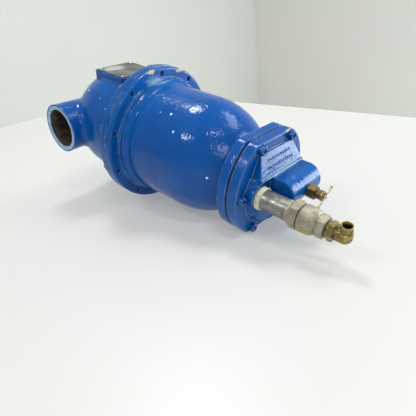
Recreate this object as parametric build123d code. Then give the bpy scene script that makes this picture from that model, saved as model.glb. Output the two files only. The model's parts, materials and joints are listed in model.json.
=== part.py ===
"""Centrifugal air separator with a float drain trap, laid on its side.

Every piece is built in a working frame: X runs along the vessel from head to trap cover,
-Y points at the near pipe port and Z is up. At the end the whole assembly is tilted so that
it rests on the rim of its large flange and on the lower flat of its trap cover.
Millimetres throughout.
"""

from build123d import *
from math import atan, cos, degrees, radians, sin, sqrt
import os

# ---- vessel ---------------------------------------------------------------------------
FLANGE_R = 105.3            # large bolted flanges between head and body
FLANGE_T = 9.75             # thickness of each large flange
HEAD_GASKET_T = 1.5
HEAD_JOINT = HEAD_GASKET_T / 2
FLANGE_FRONT = HEAD_JOINT + FLANGE_T
BARREL_R = 84.0
WALL = 8.0
HUB_R = 90.0                # raised ring where the flange meets the barrel
TAPER_X = 100.0             # where the barrel starts to taper
DOME_X = -70.0              # where the head starts to dome
DOME_L = 90.0

# ---- pipe ports, in line across the head ---------------------------------------------------
PORT_X = -120.0
PORT_FACE = 103.0
PORT_R = 38.5
PORT_ROOT_R = 36.8
PORT_ROOT_FILLET = 9.0
PORT_BORE_R = 29.4          # 2 inch taper pipe thread
PORT_THREAD_L = 24.0
PORT_RELIEF_R = 27.5
DUCT_R = 34.5

# ---- large flange screws -------------------------------------------------------------------
HEAD_SCREWS = 10
HEAD_SCREW_PITCH_R = 97.5
HEAD_SCREW_R = 4.0          # M8, from behind the head flange into tapped holes in the body flange
HEAD_SCREW_AF = 13.0
HEAD_SCREW_WASHER_R = 7.9
HEAD_SCREW_WASHER_T = 1.5
HEAD_SCREW_HEAD_L = 5.6
HEAD_SCREW_SHORT = 2.6      # how far each screw's end stays inside its tapped hole

# ---- trap flange and cover -----------------------------------------------------------------
COVER_R = 75.6
COVER_FLAT = 65.3           # half height across the two flats
BODY_LOW_BACK = 187.0
BODY_LOW_FACE = 200.0
COVER_GASKET_T = 3.5
COVER_BACK = BODY_LOW_FACE + COVER_GASKET_T
COVER_FRONT = COVER_BACK + 14.0
COVER_OPENING_R = 55.0
COVER_SCREWS = 6
COVER_SCREW_PITCH_R = 66.5
COVER_SCREW_R = 3.95
COVER_SCREW_HEAD_R = 6.1
COVER_SCREW_HEAD_L = 8.0
COVER_SPOT_DEPTH = 1.5
HOUSING_FACE = 231.0        # raised middle of the cover
RIDGE_Z = 25.5
RIDGE_HALF = 47.0
BLOCK_TOP_Z = 51.5
BLOCK_TOP_HALF = 36.0

# ---- sump boss across the cover, with the pet cock -----------------------------------------
SUMP_X = 247.5
SUMP_Z = 3.5
SUMP_R = 20.5
SUMP_Y = (-25.0, 45.0)
COCK_Y = 12.0
COCK_FACE = SUMP_X + SUMP_R

# ---- separator internals ---------------------------------------------------------------------
BAFFLE_X = 104.0            # where the baffle plate sits on its ledges
LEDGE_R = 61.0
LEDGE_ANGLES = (30, 150, 270)

# ---- drain line ----------------------------------------------------------------------------
DRAIN_Y = -43.5
DRAIN_Z = 1.0
NIPPLE_R = 13.35            # 3/4 inch pipe
NIPPLE_BORE_R = 10.45
NIPPLE_X = (220.0, 289.0)
INLET_HEX_X = (279.0, 290.0)
INLET_HEX_AF = 33.0
CHECK_BODY_X = (291.0, 323.0)
CHECK_R = 17.5
OUTLET_HEX_AF = 26.5
OUTLET_HEX_X = 313.0
CHECK_SEAT_X = 297.0
BUSHING_HEX_X = (327.0, 334.0)
BUSHING_AF = 22.2
ELBOW_X = 345.0
ELBOW_REACH = 17.0
ELBOW_LEAN = 8.0            # degrees the open mouth leans from straight up
ELBOW_R = 8.7

# ---- float trap ----------------------------------------------------------------------------
TRAP_Z = DRAIN_Z
PIVOT = (182.0, -34.0)      # X, Y of the lever's pivot pin
PLUG_Y = -18.0
FLOAT_R = 27.0
FLOAT_AT = (152.0, 17.0)    # X, Y of the ball when the valve is shut
FLOAT_SHELL = 0.9
SEAT_FACE = 197.0
ORIFICE_R = 2.4
PLUG_R = 3.0
PIVOT_PIN_R = 1.97

TILT = degrees(atan((FLANGE_R - COVER_FLAT) / (COVER_FRONT - FLANGE_FRONT)))


# ---- small helpers -------------------------------------------------------------------------
def along_x(x, y=0.0, z=0.0):
    """Plane at a station, with its normal along the vessel."""
    return Plane(origin=(x, y, z), x_dir=(0, 1, 0), z_dir=(1, 0, 0))


def rod(x0, x1, radius, y=0.0, z=0.0):
    """Cylinder along X from x0 to x1."""
    return extrude(along_x(x0, y, z) * Circle(radius), x1 - x0)


def ring(x0, x1, outer, inner, y=0.0, z=0.0):
    return rod(x0, x1, outer, y, z) - rod(x0 - 1, x1 + 1, inner, y, z)


def cross_rod(y0, y1, radius, x, z):
    """Cylinder along Y."""
    plane = Plane(origin=(x, y0, z), x_dir=(1, 0, 0), z_dir=(0, 1, 0))
    return extrude(plane * Circle(radius), y1 - y0)


def post(z0, z1, radius, x, y):
    """Cylinder along Z."""
    return extrude(Plane(origin=(x, y, z0)) * Circle(radius), z1 - z0)


def block(x, y, z):
    """Box from three (low, high) pairs."""
    size = [high - low for low, high in (x, y, z)]
    middle = [(high + low) / 2 for low, high in (x, y, z)]
    return Pos(*middle) * Box(*size)


def turned(*edges, y=0.0, z=0.0):
    """Solid of revolution about X from the edges of a closed half profile."""
    return Pos(0, y, z) * revolve(make_face(Wire(edges)), Axis.X, 360)


def turned_points(points, y=0.0, z=0.0):
    return Pos(0, y, z) * revolve(make_face(Polyline(*points, close=True)), Axis.X, 360)


def hexagon(x0, x1, across_flats, y=0.0, z=0.0, chamfers=True, turn=0.0):
    """Hex bar along X whose corners are turned off at both ends, as on a nut."""
    corner = across_flats / sqrt(3)
    plane = along_x(x0, y, z)
    bar = extrude(plane * Rot(0, 0, turn) * RegularPolygon(corner, 6), x1 - x0)
    if not chamfers:
        return bar
    cut = (corner - across_flats / 2) * 0.95
    points = [(x0, 0), (x0, corner - cut), (x0 + cut * 0.55, corner), (x1 - cut * 0.55, corner),
              (x1, corner - cut), (x1, 0)]
    return bar & turned_points(points, y, z)


def round_angles(count, start=0.0):
    return [start + 360 * i / count for i in range(count)]


def at_angle(pitch_radius, angle):
    """Y and Z of a point on a pitch circle about the vessel's axis."""
    return pitch_radius * cos(radians(angle)), pitch_radius * sin(radians(angle))


HEAD_SCREW_ANGLES = round_angles(HEAD_SCREWS, 18)
COVER_SCREW_ANGLES = round_angles(COVER_SCREWS)


def cap_screws(angles, pitch_radius, seat_x, shank_l, shank_r, head_r, head_l, key_r):
    """Socket head cap screws along X, heads towards the cover end."""
    screws = []
    for angle in angles:
        y, z = at_angle(pitch_radius, angle)
        screw = rod(seat_x - shank_l, seat_x, shank_r, y, z)
        screw += rod(seat_x, seat_x + head_l, head_r, y, z)
        rim = screw.edges().filter_by(GeomType.CIRCLE).sort_by(Axis.X)[-1]
        screw = chamfer(rim, head_r * 0.12)
        socket = hexagon(seat_x + head_l * 0.45, seat_x + head_l + 1, key_r * sqrt(3), y, z, False)
        screws.append(screw - socket)
    return screws


# ---- head ----------------------------------------------------------------------------------
def head_shell(radius, dome_l, near_x):
    """Barrel with a domed end, closed at near_x, its seam on top."""
    return Rot(90, 0, 0) * turned(
        Line((near_x, 0), (near_x, radius)),
        Line((near_x, radius), (DOME_X, radius)),
        EllipticalCenterArc((DOME_X, 0), dome_l, radius, start_angle=90, arc_size=90),
        Line((DOME_X - dome_l, 0), (near_x, 0)),
    )


def port_boss(side):
    """Round boss for one pipe port, a little narrower at its root."""
    plane = Plane(origin=(PORT_X, side * PORT_FACE, 0), x_dir=(1, 0, 0), z_dir=(0, -side, 0))
    inner = plane.offset(PORT_FACE)
    return loft([plane * Circle(PORT_R), inner * Circle(PORT_ROOT_R)])


def head_casting():
    back = -FLANGE_FRONT
    outside = head_shell(BARREL_R, DOME_L, -HEAD_JOINT)
    for side in (-1, 1):
        outside += port_boss(side)
    roots = [e for e in outside.edges() if e.geom_type == GeomType.BSPLINE and e.center().X < DOME_X]
    outside = fillet(roots, PORT_ROOT_FILLET)
    flange = turned(
        Line((-HEAD_JOINT, 0), (-HEAD_JOINT, FLANGE_R)),
        Line((-HEAD_JOINT, FLANGE_R), (back, FLANGE_R)),
        Line((back, FLANGE_R), (back, BARREL_R + 5)),
        RadiusArc((back, BARREL_R + 5), (back - 5, BARREL_R), 5),
        Line((back - 5, BARREL_R), (back - 5, 0)),
        Line((back - 5, 0), (-HEAD_JOINT, 0)),
    )
    pad = block((-104, -38), (-36, 36), (52, 85))
    pad = fillet(pad.edges().filter_by(Axis.Z), 2.5)
    outside = outside + flange + pad

    cavity = head_shell(BARREL_R - WALL, DOME_L - WALL, -HEAD_JOINT + 1)
    duct = rod(PORT_X, -40, DUCT_R) + cross_rod(0, PORT_FACE - 4, DUCT_R, PORT_X, 0)
    duct += Pos(PORT_X, 0, 0) * Sphere(DUCT_R)
    casting = outside - (cavity - duct)
    for side in (-1, 1):
        casting -= cross_rod(side * (PORT_FACE + 1), side * (PORT_FACE - PORT_THREAD_L), PORT_BORE_R,
                             PORT_X, 0)
        mouth = Plane(origin=(PORT_X, side * PORT_FACE, 0), x_dir=(1, 0, 0), z_dir=(0, -side, 0))
        casting -= loft([mouth * Circle(PORT_BORE_R + 2.2), mouth.offset(2.2) * Circle(PORT_BORE_R)])
    casting -= cross_rod(-PORT_FACE, -60, PORT_RELIEF_R, PORT_X, 0)
    casting -= cross_rod(0, PORT_FACE, PORT_RELIEF_R, PORT_X, 0) + Pos(PORT_X, 0, 0) * Sphere(PORT_RELIEF_R)
    casting -= rod(PORT_X, -39, PORT_RELIEF_R) + rod(-62, -39, 31.55)
    for angle in HEAD_SCREW_ANGLES:
        y, z = at_angle(HEAD_SCREW_PITCH_R, angle)
        casting -= rod(back - 1, 0, HEAD_SCREW_R + 0.5, y, z)
    for x, y in nameplate_corners():
        casting -= post(80, 86, 1.25, x, y)
    return casting


# ---- body ----------------------------------------------------------------------------------
def barrel_taper(wall):
    """Outline of the tapering end, moved inwards by a wall thickness."""
    bend = 39.5
    big, small = 110.0 - wall, 23.6 + wall
    shoulder = CenterArc((TAPER_X, BARREL_R - 110.0), big, 90, -bend)
    x, r = (shoulder @ 1).X, (shoulder @ 1).Y
    centre = (x + small * sin(radians(bend)), r + small * cos(radians(bend)))
    return shoulder, CenterArc(centre, small, 270 - bend, bend)


def barrel_solid(wall, near_x, far_x):
    """Solid inside the barrel's outline, moved in by a wall thickness."""
    shoulder, throat = barrel_taper(wall)
    radius = BARREL_R - wall
    end = throat @ 1
    return turned(
        Line((near_x, 0), (near_x, radius)),
        Line((near_x, radius), (TAPER_X, radius)),
        shoulder,
        throat,
        Line((end.X, end.Y), (far_x, end.Y)),
        Line((far_x, end.Y), (far_x, 0)),
        Line((far_x, 0), (near_x, 0)),
    )


def flatted_disc(x0, x1, radius, flat, edge=0.0):
    """Disc with two flats, top and bottom."""
    disc = rod(x0, x1, radius) & block((x0 - 1, x1 + 1), (-radius, radius), (-flat, flat))
    if edge:
        disc = fillet(disc.edges().filter_by(Axis.X), 15 * edge)
        disc = chamfer(disc.faces().sort_by(Axis.X)[-1].edges(), edge)
    return disc


def body_casting():
    flange = turned(
        Line((HEAD_JOINT, 0), (HEAD_JOINT, FLANGE_R)),
        Line((HEAD_JOINT, FLANGE_R), (FLANGE_FRONT - 3.5, FLANGE_R)),
        RadiusArc((FLANGE_FRONT - 3.5, FLANGE_R), (FLANGE_FRONT, FLANGE_R - 3.5), 3.5),
        Line((FLANGE_FRONT, FLANGE_R - 3.5), (FLANGE_FRONT, HUB_R + 1)),
        RadiusArc((FLANGE_FRONT, HUB_R + 1), (FLANGE_FRONT + 2.5, HUB_R - 1), 3),
        Line((FLANGE_FRONT + 2.5, HUB_R - 1), (FLANGE_FRONT + 7, HUB_R - 1.5)),
        RadiusArc((FLANGE_FRONT + 7, HUB_R - 1.5), (FLANGE_FRONT + 17, BARREL_R - 0.5), -22),
        Line((FLANGE_FRONT + 17, BARREL_R - 0.5), (FLANGE_FRONT + 17, 0)),
        Line((FLANGE_FRONT + 17, 0), (HEAD_JOINT, 0)),
    )
    low = flatted_disc(BODY_LOW_BACK, BODY_LOW_FACE, COVER_R, COVER_FLAT, 1.2)
    outside = flange + barrel_solid(0, HEAD_JOINT, BODY_LOW_BACK + 2) + low

    ledges = Part()
    for angle in LEDGE_ANGLES:
        ledges += Rot(angle, 0, 0) * block((BAFFLE_X, BAFFLE_X + 12), (LEDGE_R - 8, 78), (-7, 7))
    cavity = barrel_solid(WALL, HEAD_JOINT - 1, BODY_LOW_BACK + 4) - ledges
    cavity += rod(BODY_LOW_BACK + 3, BODY_LOW_FACE + 1, COVER_OPENING_R)
    casting = outside - cavity
    for angle in HEAD_SCREW_ANGLES:
        y, z = at_angle(HEAD_SCREW_PITCH_R, angle)
        casting -= rod(0, FLANGE_FRONT + 1, HEAD_SCREW_R + 0.05, y, z)
    for angle in COVER_SCREW_ANGLES:
        y, z = at_angle(COVER_SCREW_PITCH_R, angle)
        casting -= rod(BODY_LOW_BACK - 1, BODY_LOW_FACE + 1, COVER_SCREW_R + 0.05, y, z)
    for angle in LEDGE_ANGLES:
        casting -= rod(BAFFLE_X - 1, BAFFLE_X + 9, 2.05, *at_angle(LEDGE_R, angle))
    return casting


# ---- joints between the castings --------------------------------------------------------------
def head_gasket():
    sheet = ring(-HEAD_JOINT, HEAD_JOINT, FLANGE_R - 1.0, BARREL_R - WALL + 0.5)
    for angle in HEAD_SCREW_ANGLES:
        sheet -= rod(-2, 2, HEAD_SCREW_R + 0.6, *at_angle(HEAD_SCREW_PITCH_R, angle))
    return sheet


def cover_gasket():
    sheet = flatted_disc(BODY_LOW_FACE, COVER_BACK, COVER_R - 3.2, COVER_FLAT - 3.2)
    sheet -= rod(BODY_LOW_FACE - 1, COVER_BACK + 1, COVER_OPENING_R + 0.5)
    for angle in COVER_SCREW_ANGLES:
        y, z = at_angle(COVER_SCREW_PITCH_R, angle)
        sheet -= rod(BODY_LOW_FACE - 1, COVER_BACK + 1, COVER_SCREW_R + 0.4, y, z)
    return sheet


def head_hex_screws():
    """Hexagon flange screws that clamp the head to the body, their heads behind the head."""
    screws = []
    seat = -FLANGE_FRONT
    for angle in HEAD_SCREW_ANGLES:
        y, z = at_angle(HEAD_SCREW_PITCH_R, angle)
        screw = rod(seat, FLANGE_FRONT - HEAD_SCREW_SHORT, HEAD_SCREW_R, y, z)
        screw += rod(seat - HEAD_SCREW_WASHER_T, seat, HEAD_SCREW_WASHER_R, y, z)
        head = hexagon(seat - HEAD_SCREW_HEAD_L, seat - HEAD_SCREW_WASHER_T + 0.1, HEAD_SCREW_AF, y, z)
        screws.append(screw + head)
    return screws


def cover_cap_screws():
    seat = COVER_FRONT - COVER_SPOT_DEPTH
    shank = seat - BODY_LOW_BACK - 1.0
    return cap_screws(COVER_SCREW_ANGLES, COVER_SCREW_PITCH_R, seat, shank, COVER_SCREW_R,
                      COVER_SCREW_HEAD_R, COVER_SCREW_HEAD_L, 3.4)


def nameplate_corners():
    return [(x, y) for x in (-98.5, -43.5) for y in (-30.5, 30.5)]


def nameplate():
    plate = block((-102, -40), (-34, 34), (85, 86))
    plate = fillet(plate.edges().filter_by(Axis.Z), 1.5)
    for x, y in nameplate_corners():
        plate -= post(84, 87, 1.35, x, y)
    return plate


def nameplate_drive_screws():
    pins = []
    for x, y in nameplate_corners():
        cap = Pos(x, y, 86) * (Sphere(2.6) & block((-3, 3), (-3, 3), (0, 1.5)))
        pins.append(cap + post(81, 86, 1.2, x, y))
    return pins


# ---- separator internals -----------------------------------------------------------------------
def outlet_tube():
    """Central tube that takes the dry gas back up to the outlet port."""
    profile = [(-60, 28.5), (-60, 31.5), (-38, 31.5), (-36, 33), (62, 33), (72, 38), (72, 35.8),
               (61, 30.4), (-36, 30.4), (-38, 28.5)]
    return turned_points(profile)


def swirl_vane_ring():
    """Collar with pitched blades that spin the incoming gas."""
    blades = ring(8, 46, 35.4, 33.05)
    reach = ring(8, 46, 74.5, 34.0)
    for angle in round_angles(8):
        blade = Rot(angle, 0, 0) * Pos(27, 54, 0) * Rot(0, 38, 0) * Box(62, 46, 2.4)
        blades += blade & reach
    return blades


def baffle_plate():
    """Plate that keeps the swirling gas out of the quiet liquid space below it."""
    back = BAFFLE_X
    plate = turned_points([(back - 4, 0), (back - 4, 58), (back - 10, 66), (back - 7.6, 67.6), (back, 58),
                           (back, 0)])
    plate -= rod(back - 11, back + 1, 8)
    for angle in LEDGE_ANGLES:
        y, z = at_angle(LEDGE_R, angle)
        plate -= rod(back - 11, back + 1, 4.8, y, z)
        plate += ring(back - 3.5, back, 7.5, 2.2, y, z)
    return plate


def baffle_screws():
    screws = []
    under_head = BAFFLE_X - 3.5
    for angle in LEDGE_ANGLES:
        y, z = at_angle(LEDGE_R, angle)
        head = rod(under_head - 3, under_head, 4.2, y, z)
        head -= block((under_head - 4, under_head - 2), (y - 6, y + 6), (z - 0.6, z + 0.6))
        screws.append(head + rod(under_head, BAFFLE_X + 8, 2.0, y, z))
    return screws


# ---- trap cover --------------------------------------------------------------------------------
def cover_block():
    """Wedge between the two upper screws, sloping out to the ridge."""
    outline = Polyline((-RIDGE_HALF, 8), (-RIDGE_HALF, RIDGE_Z), (-BLOCK_TOP_HALF, BLOCK_TOP_Z),
                       (BLOCK_TOP_HALF, BLOCK_TOP_Z), (RIDGE_HALF, RIDGE_Z), (RIDGE_HALF, 8), close=True)
    slab = extrude(along_x(COVER_FRONT - 1) * make_face(outline), HOUSING_FACE + 2 - COVER_FRONT)
    above = Polyline((COVER_FRONT + 2.5, BLOCK_TOP_Z + 1), (HOUSING_FACE + 1.2, RIDGE_Z),
                     (HOUSING_FACE + 9, RIDGE_Z), (HOUSING_FACE + 9, BLOCK_TOP_Z + 1), close=True)
    return slab - extrude(Plane.XZ.offset(80) * make_face(above), -160)


def trap_cover():
    plate = flatted_disc(COVER_BACK, COVER_FRONT, COVER_R, COVER_FLAT, 1.2)
    housing = turned_points([(COVER_FRONT - 1, 0), (COVER_FRONT - 1, 57), (HOUSING_FACE - 2, 50.5),
                             (HOUSING_FACE, 48), (HOUSING_FACE, 0)])
    housing &= block((COVER_FRONT - 2, HOUSING_FACE + 1), (-60, 60), (-60, RIDGE_Z - 2))
    hub = rod(COVER_FRONT, HOUSING_FACE - 0.5, 16.2, DRAIN_Y, DRAIN_Z)
    ridge = block((HOUSING_FACE - 8, HOUSING_FACE + 4), (-RIDGE_HALF, RIDGE_HALF),
                  (RIDGE_Z - 3, RIDGE_Z + 0.2))
    ridge = fillet(ridge.edges().filter_by(Axis.Y), 1.2)
    sump = cross_rod(*SUMP_Y, SUMP_R, SUMP_X, SUMP_Z)
    sump += block((COVER_FRONT, SUMP_X), SUMP_Y, (SUMP_Z - SUMP_R, SUMP_Z + SUMP_R))
    ends = sump.faces().filter_by(Axis.Y)
    sump = fillet([e for face in ends for e in face.edges() if e.center().X > COVER_FRONT + 1], 1.5)
    cover = plate + housing + hub + cover_block() + ridge + sump

    cover -= rod(COVER_BACK - 1, COCK_FACE - 12, 15.0, COCK_Y, SUMP_Z)
    cover -= rod(COCK_FACE - 13, COCK_FACE + 3, 6.85, COCK_Y, SUMP_Z)
    cover -= rod(COVER_BACK + 8.5, HOUSING_FACE, NIPPLE_BORE_R, DRAIN_Y, DRAIN_Z)
    cover -= rod(NIPPLE_X[0] - 1, HOUSING_FACE + 6, NIPPLE_R + 0.05, DRAIN_Y, DRAIN_Z)
    cover -= rod(COVER_BACK - 1, 213, 7.05, PLUG_Y, TRAP_Z) + rod(212, 218, 3.5, PLUG_Y, TRAP_Z)
    cover -= cross_rod(DRAIN_Y, PLUG_Y, 3.2, 215.5, TRAP_Z)
    for y, z in bracket_screw_places():
        cover -= rod(COVER_BACK - 1, COVER_BACK + 7.5, 2.05, y, z)
    for angle in COVER_SCREW_ANGLES:
        y, z = at_angle(COVER_SCREW_PITCH_R, angle)
        cover -= rod(COVER_BACK - 1, COVER_FRONT + 1, COVER_SCREW_R + 0.4, y, z)
        cover -= rod(COVER_FRONT - COVER_SPOT_DEPTH, COVER_FRONT + 20, COVER_SCREW_HEAD_R + 0.9, y, z)
    return cover


# ---- float trap --------------------------------------------------------------------------------
def bracket_screw_places():
    return [(-40, TRAP_Z - 13.1), (-40, TRAP_Z + 13.1)]


def float_bracket():
    """Two cheeks on a base plate, with a bridge that guides the valve plug."""
    base = block((COVER_BACK - 2, COVER_BACK), (-46, -6), (TRAP_Z - 16.5, TRAP_Z + 16.5))
    base = fillet(base.edges().filter_by(Axis.X), 3)
    base -= rod(COVER_BACK - 3, COVER_BACK + 1, 10, PLUG_Y, TRAP_Z)
    cheeks = Part()
    for low in (TRAP_Z - 9.6, TRAP_Z + 7.6):
        cheek = block((PIVOT[0] - 4.5, COVER_BACK - 1), (-39, -29), (low, low + 2))
        cheek += block((187, COVER_BACK - 1), (-39, -7.5), (low, low + 2))
        cheeks += cheek
    bridge = block((188, 190), (-26, -10), (TRAP_Z - 9, TRAP_Z + 9))
    bracket = base + cheeks + bridge
    bracket -= rod(186, 192, PLUG_R + 0.05, PLUG_Y, TRAP_Z)
    bracket -= post(TRAP_Z - 20, TRAP_Z + 20, PIVOT_PIN_R + 0.02, *PIVOT)
    for y, z in bracket_screw_places():
        bracket -= rod(COVER_BACK - 3, COVER_BACK + 1, 2.15, y, z)
    return bracket


def bracket_screws():
    screws = []
    for y, z in bracket_screw_places():
        head = rod(COVER_BACK - 5, COVER_BACK - 2, 3.2, y, z)
        head -= block((COVER_BACK - 5.5, COVER_BACK - 4), (y - 5, y + 5), (z - 0.5, z + 0.5))
        screws.append(head + rod(COVER_BACK - 2, COVER_BACK + 7, 2.0, y, z))
    return screws


def float_pivot_pin():
    return post(TRAP_Z - 12.2, TRAP_Z + 12.2, PIVOT_PIN_R, *PIVOT)


def pivot_pin_clips():
    clips = []
    for z in (TRAP_Z - 10.8, TRAP_Z + 9.8):
        clip = post(z, z + 1, 4.0, *PIVOT) - post(z - 1, z + 2, PIVOT_PIN_R, *PIVOT)
        clips.append(clip - block((PIVOT[0], PIVOT[0] + 6), (PIVOT[1] - 1.2, PIVOT[1] + 1.2), (z - 1, z + 2)))
    return clips


def arm_direction():
    """Unit vector from the end of the lever to the middle of the float."""
    dx, dy = FLOAT_AT[0] - PIVOT[0], FLOAT_AT[1] + 6.0
    length = sqrt(dx * dx + dy * dy)
    return dx / length, dy / length


def float_arm():
    strips = Part()
    for low in (TRAP_Z - 6.5, TRAP_Z + 4.5):
        strip = block((PIVOT[0] - 4, PIVOT[0] + 4), (PIVOT[1], -5), (low, low + 2))
        strip += post(low, low + 2, 4, *PIVOT)
        strips += strip
    web = block((PIVOT[0] - 4, PIVOT[0] + 4), (-8, -4), (TRAP_Z - 6.5, TRAP_Z + 6.5))
    dx, dy = arm_direction()
    start = Plane(origin=(PIVOT[0], -6, TRAP_Z), z_dir=(dx, dy, 0))
    full = sqrt((FLOAT_AT[0] - PIVOT[0]) ** 2 + (FLOAT_AT[1] + 6) ** 2)
    arm = strips + web + extrude(start * Circle(2.5), full - FLOAT_R)
    arm -= post(TRAP_Z - 20, TRAP_Z + 20, PIVOT_PIN_R + 0.06, *PIVOT)
    slot = block((PIVOT[0] - 1.7, PIVOT[0] + 1.7), (PLUG_Y - 2.2, PLUG_Y + 2.2), (TRAP_Z - 20, TRAP_Z + 20))
    return arm - slot


def float_ball():
    """Hollow ball with a socket for the arm."""
    dx, dy = arm_direction()
    inward = Plane(origin=(FLOAT_AT[0] - dx * (FLOAT_R + 5), FLOAT_AT[1] - dy * (FLOAT_R + 5), TRAP_Z),
                   z_dir=(dx, dy, 0))
    centre = Pos(FLOAT_AT[0], FLOAT_AT[1], TRAP_Z)
    ball = centre * Sphere(FLOAT_R) + extrude(inward * Circle(4.5), 8)
    ball -= centre * Sphere(FLOAT_R - FLOAT_SHELL) - extrude(inward * Circle(4.5), 8)
    return ball - extrude(inward.offset(-1) * Circle(2.52), 6.5)


def valve_plug():
    x0 = SEAT_FACE - 3
    slope = (PLUG_R - (ORIFICE_R - 0.05)) / 3
    plug = turned_points([(176, 0), (176, PLUG_R), (x0, PLUG_R), (x0 + 6, PLUG_R - 6 * slope), (x0 + 6, 0)],
                         PLUG_Y, TRAP_Z)
    return plug - post(TRAP_Z - 9, TRAP_Z + 9, 1.27, PIVOT[0], PLUG_Y)


def valve_plug_pin():
    return post(TRAP_Z - 7.0, TRAP_Z + 7.0, 1.25, PIVOT[0], PLUG_Y)


def valve_seat():
    seat = rod(COVER_BACK, COVER_BACK + 8.5, 7.0, PLUG_Y, TRAP_Z)
    seat += hexagon(SEAT_FACE, COVER_BACK, 14.8, PLUG_Y, TRAP_Z)
    return seat - rod(SEAT_FACE - 1, 215, ORIFICE_R, PLUG_Y, TRAP_Z)


# ---- drain line --------------------------------------------------------------------------------
def drain_nipple():
    return ring(*NIPPLE_X, NIPPLE_R, NIPPLE_BORE_R, DRAIN_Y, DRAIN_Z)


def check_inlet_end():
    """Hex end that screws into the valve body and carries the seat."""
    piece = hexagon(*INLET_HEX_X, INLET_HEX_AF, DRAIN_Y, DRAIN_Z, turn=12)
    piece += rod(INLET_HEX_X[1] - 1, CHECK_SEAT_X, 14.6, DRAIN_Y, DRAIN_Z)
    piece -= rod(INLET_HEX_X[0] - 1, NIPPLE_X[1] + 0.5, NIPPLE_R + 0.05, DRAIN_Y, DRAIN_Z)
    return piece - rod(NIPPLE_X[1], CHECK_SEAT_X + 1, 8.0, DRAIN_Y, DRAIN_Z)


def check_body_gasket():
    return ring(INLET_HEX_X[1], CHECK_BODY_X[0], 16.0, 14.65, DRAIN_Y, DRAIN_Z)


def check_valve_body():
    start, end = CHECK_BODY_X
    neck = OUTLET_HEX_AF / 2
    belly = Pos(0, DRAIN_Y, DRAIN_Z) * revolve(make_face(Wire([
        Line((start, 0), (start, 16.4)),
        Line((start, 16.4), (start + 2, CHECK_R)),
        Line((start + 2, CHECK_R), (303, CHECK_R)),
        ThreePointArc((303, CHECK_R), (308.6, 15.9), (OUTLET_HEX_X, neck - 0.6)),
        Line((OUTLET_HEX_X, neck - 0.6), (OUTLET_HEX_X, 0)),
        Line((OUTLET_HEX_X, 0), (start, 0)),
    ])), Axis.X, 360)
    body = belly + hexagon(OUTLET_HEX_X, end, OUTLET_HEX_AF, DRAIN_Y, DRAIN_Z, turn=12)
    body -= rod(start - 1, CHECK_SEAT_X + 0.4, 14.65, DRAIN_Y, DRAIN_Z)
    body -= rod(CHECK_SEAT_X, 308, 13.0, DRAIN_Y, DRAIN_Z)
    body -= rod(307, end, 8.2, DRAIN_Y, DRAIN_Z)
    return body - rod(314, end + 1, 10.5, DRAIN_Y, DRAIN_Z)


def check_poppet():
    """Disc with a guide stem, its back towards the spring."""
    face = CHECK_SEAT_X + 0.3
    poppet = turned_points([(face, 0), (face, 10.8), (face + 2.4, 10.8), (face + 3.4, 5.2), (face + 3.4, 2.5),
                            (313, 2.5), (313, 0)], DRAIN_Y, DRAIN_Z)
    return poppet - ring(face - 1, face + 1.2, 10.1, 8.6, DRAIN_Y, DRAIN_Z)


def check_poppet_seal():
    return ring(CHECK_SEAT_X + 0.05, CHECK_SEAT_X + 1.5, 10.1, 8.6, DRAIN_Y, DRAIN_Z)


def check_spring_guide():
    """Three-legged spider that holds the stem in line."""
    guide = ring(305.5, 308, 12.95, 11.2, DRAIN_Y, DRAIN_Z) + rod(305.5, 308, 4.4, DRAIN_Y, DRAIN_Z)
    for angle in round_angles(3, 90):
        guide += Pos(306.75, DRAIN_Y, DRAIN_Z) * Rot(angle, 0, 0) * Pos(0, 8, 0) * Box(2.5, 8, 2.4)
    return guide - rod(304, 310, 2.56, DRAIN_Y, DRAIN_Z)


def check_spring():
    """Light compression spring between poppet and spider."""
    wire = 0.45
    coil_r, low, high = 6.4, CHECK_SEAT_X + 4.2, 305.0
    path = Pos(low, DRAIN_Y, DRAIN_Z) * Rot(0, 90, 0) * Helix((high - low) / 2.5, high - low, coil_r)
    start = Plane(origin=path @ 0, z_dir=path % 0)
    return sweep(start * Circle(wire), path)


def hex_bushing():
    piece = hexagon(*BUSHING_HEX_X, BUSHING_AF, DRAIN_Y, DRAIN_Z, turn=4)
    piece += rod(315.5, BUSHING_HEX_X[0] + 1, 10.45, DRAIN_Y, DRAIN_Z)
    piece -= rod(320, BUSHING_HEX_X[1] + 1, 8.4, DRAIN_Y, DRAIN_Z)
    return piece - rod(314, 321, 6.0, DRAIN_Y, DRAIN_Z)


def elbow_mouth_plane():
    """Plane at the elbow's corner, looking out of its open mouth."""
    lean = radians(ELBOW_LEAN)
    return Plane(origin=(ELBOW_X, DRAIN_Y, DRAIN_Z), x_dir=(1, 0, 0), z_dir=(0, -sin(lean), cos(lean)))


def drain_elbow():
    up = elbow_mouth_plane()
    elbow = rod(322, 338, 8.35, DRAIN_Y, DRAIN_Z) + rod(336.8, ELBOW_X, ELBOW_R, DRAIN_Y, DRAIN_Z)
    elbow += Pos(ELBOW_X, DRAIN_Y, DRAIN_Z) * Sphere(ELBOW_R)
    elbow += extrude(up * Circle(ELBOW_R), 7.5) + extrude(up * Circle(7.15), ELBOW_REACH)
    elbow += extrude(up.offset(7.4) * Circle(8.2), 1.4)
    elbow -= rod(320, ELBOW_X, 5.2, DRAIN_Y, DRAIN_Z)
    elbow -= extrude(up * Circle(4.8), ELBOW_REACH + 1)
    mouth = loft([up.offset(ELBOW_REACH - 2.5) * Circle(4.8), up.offset(ELBOW_REACH + 0.1) * Circle(5.9)])
    return elbow - mouth


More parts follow.
